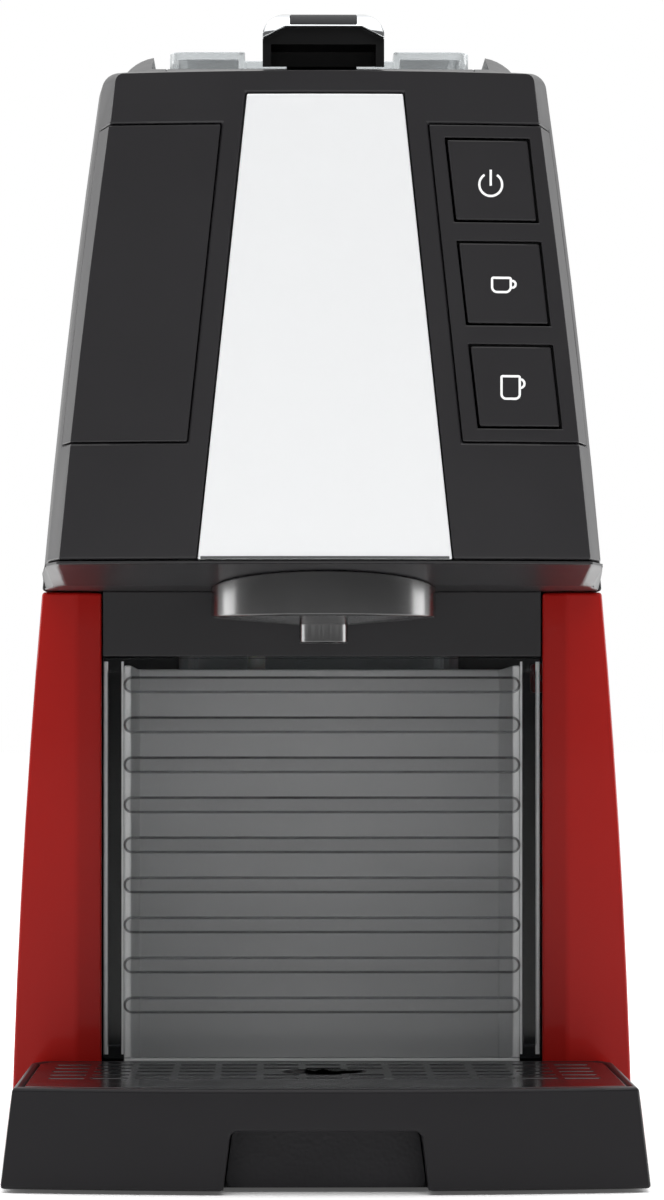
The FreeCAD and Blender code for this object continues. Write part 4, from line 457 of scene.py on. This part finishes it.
def soften(node: str, width_mm: float, steps: int = 3, angle_deg: float = CRISP_DEG,
           below_mm: float = ANY_HEIGHT) -> None:
    """Rounds the crisp edges of a CAD node with modifiers, which leave its own mesh as it is.

    Args:
        node: Name of the CAD node.
        width_mm: Width of the rounding.
        steps: Facets across the rounding.
        angle_deg: Edges that turn more than this are rounded.
        below_mm: Edges above this height are left crisp.
    """
    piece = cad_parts[node]
    piece.modifiers.new("joined_corners", "WELD").merge_threshold = JOINED_WITHIN
    flat = piece.modifiers.new("whole_faces", "DECIMATE")
    flat.decimate_type = "DISSOLVE"
    flat.angle_limit = math.radians(FLAT_WITHIN_DEG)
    piece.modifiers.new("picked_edges", "NODES").node_group = edge_picker(angle_deg, below_mm)
    edge = piece.modifiers.new("rounded_edges", "BEVEL")
    edge.width = width_mm * MM
    edge.segments = steps
    edge.limit_method = "WEIGHT"
    edge.use_clamp_overlap = False
    piece.modifiers.new("even_shading", "WEIGHTED_NORMAL").keep_sharp = True


class Dresser:
    """Makes each finish once and puts it on CAD nodes and new pieces."""

    def __init__(self) -> None:
        """Starts with no material made."""
        self.made: dict[str, bpy.types.Material] = {}

    def material(self, finish: Finish) -> bpy.types.Material:
        """Makes a finish's material at its first use.

        Args:
            finish: The finish.

        Returns:
            Its material.
        """
        if finish.name not in self.made:
            self.made[finish.name] = finish.material()
        return self.made[finish.name]

    def nodes(self) -> None:
        """Gives every CAD node the finish of its material slot."""
        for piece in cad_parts.values():
            for place in piece.material_slots:
                place.material = self.material(FINISHES[Slot(place.material.name)])

    def node(self, name: str, finish: Finish) -> None:
        """Gives one CAD node another finish.

        Args:
            name: Name of the CAD node.
            finish: Finish that it wears.
        """
        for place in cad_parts[name].material_slots:
            place.material = self.material(finish)

    def piece(self, name: str, mesh: bmesh.types.BMesh, finish: Finish, body: Body,
              slot: Slot | None = None) -> bpy.types.Object:
        """Makes an object of a mesh and sets it on its body.

        Args:
            name: Name of the piece.
            mesh: Its mesh, in metres in the part's frame; it is freed.
            finish: Finish that it wears.
            body: Body that it rides on.
            slot: The record's material slot, where there is one for this finish; not used.

        Returns:
            The new object.
        """
        data = bpy.data.meshes.new(name)
        bmesh.ops.recalc_face_normals(mesh, faces=mesh.faces)
        mesh.to_mesh(data)
        mesh.free()
        data.materials.append(self.material(finish))
        made = bpy.data.objects.new(name, data)
        bpy.context.scene.collection.objects.link(made)
        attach(made, body.value)
        LOG.info("built %s on %s", name, body.value)
        return made


def arc(centre: Point, radius: float, start_deg: float, end_deg: float, steps: int) -> list[Point]:
    """Points along an arc.

    Args:
        centre: Middle of the arc.
        radius: Its radius.
        start_deg: Angle of the first point, anticlockwise from the right.
        end_deg: Angle of the last point.
        steps: Number of spans.

    Returns:
        One point more than there are spans.
    """
    turns = (math.radians(start_deg + (end_deg - start_deg) * i / steps) for i in range(steps + 1))
    return [(centre[0] + radius * math.cos(t), centre[1] + radius * math.sin(t)) for t in turns]


def stroke(path: Sequence[Point], width: float, closed: bool) -> tuple[list[Point], list[Point]]:
    """Left and right edge of a line of constant width.

    Args:
        path: Points along the middle of the line.
        width: Width of the line.
        closed: Whether the last point joins the first.

    Returns:
        Points along the left edge and along the right edge.
    """
    left: list[Point] = []
    right: list[Point] = []
    last = len(path) - 1
    for i, (x, z) in enumerate(path):
        before = path[i - 1] if closed or i > 0 else path[0]
        after = path[(i + 1) % len(path)] if closed or i < last else path[last]
        run = Vector((after[0] - before[0], after[1] - before[1])).normalized()
        first = Vector((x - before[0], z - before[1]))
        share = abs(run.dot(first.normalized())) if first.length > 0 else 1.0
        half = width / 2 / max(share, 0.5)
        left.append((x - run.y * half, z + run.x * half))
        right.append((x + run.y * half, z - run.x * half))
    return left, right


class FrontSkin:
    """Front surface of one CAD node, as seen along the Y axis."""

    def __init__(self, node: str) -> None:
        """Reads the node's faces.

        Args:
            node: Name of the CAD node.
        """
        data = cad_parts[node].data
        self.tree = BVHTree.FromPolygons([v.co for v in data.vertices], [p.vertices for p in data.polygons])

    def depth(self, x_mm: float, z_mm: float) -> float:
        """Finds the surface at a place on the front.

        Args:
            x_mm: Place across, in millimetres.
            z_mm: Place up, in millimetres.

        Returns:
            Y of the surface, in millimetres.
        """
        hit = self.tree.ray_cast(Vector((x_mm * MM, -1.0, z_mm * MM)), Vector((0.0, 1.0, 0.0)))[0]
        return hit.y / MM


def add_stroke(mesh: bmesh.types.BMesh, skin: FrontSkin, path: Sequence[Point], width: float,
               proud: float, sunk: float, closed: bool) -> None:
    """Adds a raised line that follows a front surface.

    Args:
        mesh: Mesh that takes the line.
        skin: Surface that carries it.
        path: Points along the middle of the line, X and Z in millimetres.
        width: Width of the line in millimetres.
        proud: How far it stands out.
        sunk: How far it reaches into the surface.
        closed: Whether the last point joins the first.
    """
    rings = []
    for a, b in zip(*stroke(path, width, closed)):
        ring = []
        for (x, z), shift in ((a, -proud), (b, -proud), (b, sunk), (a, sunk)):
            ring.append(mesh.verts.new((x * MM, (skin.depth(x, z) + shift) * MM, z * MM)))
        rings.append(ring)
    pairs = list(zip(rings, rings[1:]))
    if closed:
        pairs.append((rings[-1], rings[0]))
    else:
        mesh.faces.new(rings[0])
        mesh.faces.new(rings[-1])
    for one, two in pairs:
        for i in range(4):
            mesh.faces.new((one[i], one[i - 1], two[i - 1], two[i]))


@dataclass
class Cup:
    """Outline of a cup pictogram, in millimetres.

    Attributes:
        left: Left edge of the bowl.
        right: Right edge of the bowl.
        bottom: Lower edge.
        top: Upper edge.
        corner: Radius of the lower corners.
        handle: How far the handle reaches to the right.
        handle_height: Height of the handle.
        lip: Radius of the upper corners.
        handle_drop: Upper end of the handle, below the rim.
    """

    left: float
    right: float
    bottom: float
    top: float
    corner: float
    handle: float
    handle_height: float
    lip: float = 0.3
    handle_drop: float = 0.75

    def bowl(self) -> list[Point]:
        """Draws the bowl.

        Returns:
            Its closed outline, clockwise from the upper left.
        """
        lower = self.bottom + self.corner
        rim = arc((self.left + self.lip, self.top - self.lip), self.lip, 180, 90, 3)
        rim += arc((self.right - self.lip, self.top - self.lip), self.lip, 90, 0, 3)
        foot = arc((self.right - self.corner, lower), self.corner, 0, -90, 8)
        foot += arc((self.left + self.corner, lower), self.corner, -90, -180, 8)
        return rim + foot

    def ear(self) -> list[Point]:
        """Draws the handle.

        Returns:
            Its open outline, from the upper end to the lower one.
        """
        high = self.top - self.handle_drop
        low = high - self.handle_height
        bend = self.handle_height / 2
        out = self.right + self.handle - bend
        return [(self.right, high)] + arc((out, high - bend), bend, 90, -90, 10) + [(self.right, low)]


@dataclass
class ButtonSet:
    """Three push buttons with their printed pictograms, in millimetres.

    Attributes:
        edge: Rounding of the button edges.
        line: Width of the printed lines.
        proud: Height of the ink.
        sunk: How far the ink's solid reaches into the button.
        power_at: Middle of the power ring.
        ring: Radius of the power ring's line.
        gap_deg: Half of the ring's opening.
        bar: Lower and upper end of the power bar, from the middle.
        small: Small cup.
        large: Large cup.
    """

    edge: float = 0.45
    line: float = 0.58
    proud: float = 0.06
    sunk: float = 0.3
    power_at: Point = (42.0, 253.3)
    ring: float = 2.9
    gap_deg: float = 33.0
    bar: Point = (-0.3, 3.75)
    small: Cup = field(default_factory=lambda: Cup(42.35, 47.1, 226.1, 229.7, 1.3, 1.25, 1.7))
    large: Cup = field(default_factory=lambda: Cup(44.75, 49.4, 199.1, 204.8, 1.15, 1.2, 2.2))

    def print_on(self, dresser: Dresser, button: str, body: Body,
                 lines: Iterable[tuple[list[Point], bool]]) -> bpy.types.Object:
        """Prints lines on a button.

        Args:
            dresser: Puts the finish on.
            button: CAD node of the button.
            body: Body that the button moves with.
            lines: Middle lines, each with whether it is closed.

        Returns:
            The print as one piece.
        """
        skin = FrontSkin(button)
        mesh = bmesh.new()
        for path, closed in lines:
            add_stroke(mesh, skin, path, self.line, self.proud, self.sunk, closed)
        return dresser.piece(button.replace("button", "print"), mesh, PRINT_INK, body)

    def build(self, dresser: Dresser) -> None:
        """Rounds the buttons and prints their pictograms.

        Args:
            dresser: Puts the finishes on.
        """
        x, z = self.power_at
        ring = arc(self.power_at, self.ring, 90 + self.gap_deg, 450 - self.gap_deg, 40)
        bar = [(x, z + self.bar[0]), (x, z + self.bar[1])]
        self.print_on(dresser, "button_power", Body.POWER_BUTTON, [(ring, False), (bar, False)])
        for button, body, cup in (("button_small_cup", Body.SMALL_CUP_BUTTON, self.small),
                                  ("button_large_cup", Body.LARGE_CUP_BUTTON, self.large)):
            self.print_on(dresser, button, body, [(cup.bowl(), True), (cup.ear(), False)])
        for button in ("button_power", "button_small_cup", "button_large_cup"):
            soften(button, self.edge)


@dataclass
class Casing:
    """Head, columns, base and rear of the machine, with edge roundings in millimetres.

    Attributes:
        head_edge: Rounding of the head's crisp edges.
        head_crisp: Height above which the head's edges stay crisp.
        panel_edge: Rounding of the inserts and panels.
        column_edge: Rounding of the columns.
        lip: Height of the bright lip under the centre trim.
        lip_proud: How far the lip stands out.
        lip_rise: Lower edge of the lip above the foot of the trim.
        lip_spans: Straight spans along the lip.
    """

    head_edge: float = 0.7
    head_crisp: float = 278.0
    panel_edge: float = 0.3
    column_edge: float = 0.8
    lip: float = 0.7
    lip_proud: float = 0.25
    lip_rise: float = 0.05
    lip_spans: int = 24

    def trim_lip(self, dresser: Dresser) -> None:
        """Adds the plated lip along the foot of the centre trim.

        Args:
            dresser: Puts the finishes on.
        """
        skin = FrontSkin("centre_trim")
        low, high = (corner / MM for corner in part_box("centre_trim"))
        reach = high.x - self.lip
        level = low.z + self.lip / 2 + self.lip_rise
        path = [(-reach + 2 * reach * i / self.lip_spans, level) for i in range(self.lip_spans + 1)]
        mesh = bmesh.new()
        add_stroke(mesh, skin, path, self.lip, self.lip_proud, self.lip_proud, False)
        dresser.piece("trim_lip", mesh, FINISHES[Slot.CHROME_PLATE], Body.MACHINE, Slot.CHROME_PLATE)

    def build(self, dresser: Dresser) -> None:
        """Rounds the mouldings and adds the lip.

        Args:
            dresser: Puts the finishes on.
        """
        self.trim_lip(dresser)
        soften("head_shell", self.head_edge, below_mm=self.head_crisp)
        soften("underside_cap", self.head_edge)
        for node in ("centre_trim", "blank_panel", "button_panel", "back_panel", "top_cover"):
            soften(node, self.panel_edge)
        for node in ("side_panel_left", "side_panel_right"):
            soften(node, self.column_edge)
        dresser.node("casing_screws", BLACK_STEEL)


def stadium(half: float, rise: float, middle: float, steps: int) -> list[Point]:
    """Makes a long outline with round ends.

    Args:
        half: Half of its length, round ends included.
        rise: Half of its height.
        middle: Level of its long axis.
        steps: Sides of each round end.

    Returns:
        The outline, X and Z in millimetres.
    """
    reach = half - rise
    return arc((reach, middle), rise, -90, 90, steps) + arc((-reach, middle), rise, 90, 270, steps)


@dataclass
class RibbedWindow:
    """Moulded ribs across the smoked bin front, in millimetres.

    Attributes:
        count: Number of ribs.
        pitch: Distance from rib to rib.
        margin: Window top to the middle of the highest rib.
        half: Half of a rib's length at its root.
        rise: Half of a rib's height at its root.
        flank: Width of a rib's sloping flank, seen from the front.
        proud: How far a rib stands out.
        sunk: How far its root reaches into the window.
        bars: Inner and outer edges of the pale upright bars behind the window's margins.
        bar_depth: Depth of those bars.
        bar_gap: Gap between the window and the bars.
        bar_short: How much shorter than the window the bars are.
        end_steps: Sides of a rib's round end.
    """

    count: int = 9
    pitch: float = 10.8
    margin: float = 7.3
    half: float = 53.6
    rise: float = 2.3
    flank: float = 0.6
    proud: float = 1.9
    sunk: float = 0.2
    bars: tuple[Point, Point] = ((53.6, 54.2), (57.8, 59.0))
    bar_depth: float = 0.8
    bar_gap: float = 0.05
    bar_short: float = 2.0
    end_steps: int = 12

    def flange(self, dresser: Dresser) -> None:
        """Adds the bin's flange bars, which show through the window's margins.

        Args:
            dresser: Puts the finishes on.
        """
        low, high = (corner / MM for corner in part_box("bin_front"))
        near = high.y + self.bar_gap
        mesh = bmesh.new()
        for side in (-1, 1):
            for inner, outer in self.bars:
                middle = Vector((side * (inner + outer) / 2, near + self.bar_depth / 2, (low.z + high.z) / 2))
                size = Vector((outer - inner, self.bar_depth, high.z - low.z - self.bar_short))
                bmesh.ops.create_cube(mesh, size=1.0, matrix=Matrix.Translation(middle * MM)
                                      @ Matrix.Diagonal(size * MM).to_4x4())
        dresser.piece("bin_flange", mesh, PALE_PP, Body.DRAWER, Slot.GREY_PLASTIC)

    def build(self, dresser: Dresser) -> None:
        """Adds the ribs and the flange.

        Args:
            dresser: Puts the finishes on.
        """
        self.flange(dresser)
        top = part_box("bin_front")[1].z / MM
        face = FrontSkin("bin_front").depth(0.0, top - self.margin / 3)
        mesh = bmesh.new()
        for index in range(self.count):
            middle = top - self.margin - index * self.pitch
            root = stadium(self.half, self.rise, middle, self.end_steps)
            crown = stadium(self.half - self.flank, self.rise - self.flank, middle, self.end_steps)
            low = [mesh.verts.new((x * MM, (face + self.sunk) * MM, z * MM)) for x, z in root]
            high = [mesh.verts.new((x * MM, (face - self.proud) * MM, z * MM)) for x, z in crown]
            mesh.faces.new(low)
            mesh.faces.new(high)
            for i in range(len(low)):
                mesh.faces.new((low[i - 1], low[i], high[i], high[i - 1]))
        dresser.piece("window_ribs", mesh, FINISHES[Slot.SMOKED_CLEAR], Body.DRAWER, Slot.SMOKED_CLEAR)


@dataclass
class Drawer:
    """Drip tray, pod bin and drip plate, with edge roundings in millimetres.

    Attributes:
        tray_edge: Rounding of the drip tray.
        plate_edge: Rounding of the drip plate and the bin.
        window_edge: Rounding of the bin's smoked front.
    """

    tray_edge: float = 1.0
    plate_edge: float = 0.5
    window_edge: float = 0.45

    def build(self, dresser: Dresser) -> None:
        """Rounds the drawer's pieces, adds the window ribs and sets their finishes.

        Args:
            dresser: Puts the finishes on.
        """
        soften("drip_tray", self.tray_edge)
        soften("drip_plate", self.plate_edge)
        soften("bin_front", self.window_edge)
        soften("bin_tub", self.plate_edge)
        dresser.node("drip_tray", TRAY_ABS)
        dresser.node("grip_insert", PEBBLED_ABS)
        dresser.node("bin_tub", PALE_PP)
        dresser.node("drip_plate", PLATE_ABS)
        RibbedWindow().build(dresser)


@dataclass
class BrewHead:
    """Lever, spout, tank and lid, with edge roundings in millimetres.

    Attributes:
        lever_edge: Rounding of the lever's chrome cap.
        spout_edge: Rounding of the spout housing and nozzle.
        tank_edge: Rounding of the tank and its lid.
    """

    lever_edge: float = 0.4
    spout_edge: float = 0.5
    tank_edge: float = 0.5

    def build(self, dresser: Dresser) -> None:
        """Rounds the lever, spout, tank and lid and sets their finishes.

        Args:
            dresser: Puts the finishes on.
        """
        soften("lever_cap", self.lever_edge)
        dresser.node("lever_arm", DEEP_ABS)
        dresser.node("lever_inlay", BLACK_FILM)
        for node in ("spout_housing", "spout_nozzle"):
            soften(node, self.spout_edge)
            dresser.node(node, SPOUT_ABS)
        for node in ("water_tank", "tank_lid"):
            soften(node, self.tank_edge)


@dataclass
class SoftBox:
    """Studio lamp with a large soft face.

    Attributes:
        name: Name of the lamp.
        place: Where it stands, in metres.
        aim: Point that it faces, in metres.
        size: Width and height of its face, in metres.
        power: Light output in watts.
    """

    name: str
    place: tuple[float, float, float]
    aim: tuple[float, float, float]
    size: Point
    power: float

    def build(self) -> None:
        """Adds the lamp to the scene."""
        data = bpy.data.lights.new(self.name, "AREA")
        data.shape = "RECTANGLE"
        data.size, data.size_y = self.size
        data.energy = self.power
        lamp = bpy.data.objects.new(self.name, data)
        lamp.location = self.place
        lamp.rotation_euler = (Vector(self.aim) - Vector(self.place)).to_track_quat("-Z", "Y").to_euler()
        bpy.context.scene.collection.objects.link(lamp)


@dataclass
class Studio:
    """Pale floor, soft light and the camera, in metres unless a name says otherwise.

    Attributes:
        floor_reach: Half of the floor's side.
        camera_place: Where the camera stands.
        camera_yaw_deg: Turn of the camera to the right.
        lens_mm: Focal length over a 36 mm frame.
        shift: Lens shift across and up, in shares of the frame's long side.
        backdrop: Colour that the camera sees behind the machine.
        front_glow: Brightness of the studio behind the camera.
        back_glow: Brightness of the studio behind the machine.
        top_glow: What the ceiling adds to that.
    """

    floor_reach: float = 40.0
    camera_place: tuple[float, float, float] = (-0.012, -1.392, 0.1126)
    camera_yaw_deg: float = 0.55
    lens_mm: float = 148.5
    shift: Point = (0.0058, 0.1167)
    backdrop: str = "ffffff"
    front_glow: float = 0.26
    back_glow: float = 1.0
    top_glow: float = 1.0

    def floor(self) -> None:
        """Lays the floor."""
        reach = self.floor_reach
        data = bpy.data.meshes.new("studio_floor")
        data.from_pydata([(-reach, -reach, 0), (reach, -reach, 0), (reach, reach, 0), (-reach, reach, 0)],
                         [], [(0, 1, 2, 3)])
        # Matt white paper sweep: even and without shine.
        paper = GlowingPaper("matt_white_paper", "fcfcfc", "fafafa", 0.9, 0.03, 2.0, 0.01, 300.0)
        data.materials.append(paper.material())
        floor = bpy.data.objects.new("studio_floor", data)
        bpy.context.scene.collection.objects.link(floor)

    def surroundings(self) -> None:
        """Makes the studio's glow: bright behind the machine, dim behind the camera."""
        world = bpy.data.worlds.new("studio")
        world.use_nodes = True
        tree = world.node_tree
        tree.nodes.clear()
        along = add_node(tree, "ShaderNodeTexCoord").outputs["Generated"]
        way = add_node(tree, "ShaderNodeSeparateXYZ", {"Vector": along})
        glow = add_node(tree, "ShaderNodeMapRange", {
            "Value": way.outputs["Y"], "From Min": -0.3, "From Max": 0.4,
            "To Min": self.front_glow, "To Max": self.back_glow}, interpolation_type="SMOOTHSTEP")
        ceiling = add_node(tree, "ShaderNodeMapRange", {
            "Value": way.outputs["Z"], "From Min": 0.3, "From Max": 0.8,
            "To Min": 0.0, "To Max": self.top_glow}, interpolation_type="SMOOTHSTEP")
        both = add_node(tree, "ShaderNodeMath", {0: glow.outputs["Result"], 1: ceiling.outputs["Result"]})
        room = add_node(tree, "ShaderNodeBackground", {"Strength": both.outputs["Value"]})
        seen = add_node(tree, "ShaderNodeBackground", {"Color": linear(self.backdrop)})
        ray = add_node(tree, "ShaderNodeLightPath").outputs["Is Camera Ray"]
        mix = add_node(tree, "ShaderNodeMixShader", {
            0: ray, 1: room.outputs["Background"], 2: seen.outputs["Background"]})
        add_node(tree, "ShaderNodeOutputWorld", {"Surface": mix.outputs["Shader"]})
        bpy.context.scene.world = world

    def lamps(self) -> None:
        """Sets up the soft boxes."""
        for box in (SoftBox("top_box", (0.0, -0.2, 1.9), (0.0, -0.05, 0.15), (1.6, 1.4), 16.0),
                    SoftBox("front_box", (0.0, -1.7, 1.75), (0.0, -0.1, 0.2), (2.6, 1.2), 15.0),
                    SoftBox("left_strip", (-1.4, 0.5, 0.45), (0.0, -0.1, 0.2), (0.6, 1.4), 13.0),
                    SoftBox("right_strip", (1.4, 0.5, 0.45), (0.0, -0.1, 0.2), (0.6, 1.4), 13.0)):
            box.build()

    def camera(self) -> None:
        """Places the camera at the photograph's viewpoint."""
        data = bpy.data.cameras.new("camera")
        data.sensor_width = 36.0
        data.lens = self.lens_mm
        data.shift_x, data.shift_y = self.shift
        data.clip_start = 0.01
        camera = bpy.data.objects.new("camera", data)
        camera.location = self.camera_place
        camera.rotation_euler = (math.radians(90), 0.0, -math.radians(self.camera_yaw_deg))
        bpy.context.scene.collection.objects.link(camera)
        bpy.context.scene.camera = camera

    def build(self) -> None:
        """Builds the whole studio."""
        self.floor()
        self.surroundings()
        self.lamps()
        self.camera()
        bpy.context.scene.view_settings.view_transform = "Standard"


def main() -> None:
    """Dresses the machine and sets up the studio."""
    logging.basicConfig(level=logging.INFO, format="%(name)s: %(message)s")
    dresser = Dresser()
    dresser.nodes()
    for assembly in (Casing(), ButtonSet(), Drawer(), BrewHead()):
        assembly.build(dresser)
        LOG.info("dressed %s", type(assembly).__name__)
    Studio().build()


if __name__ == "__main__":
    main()
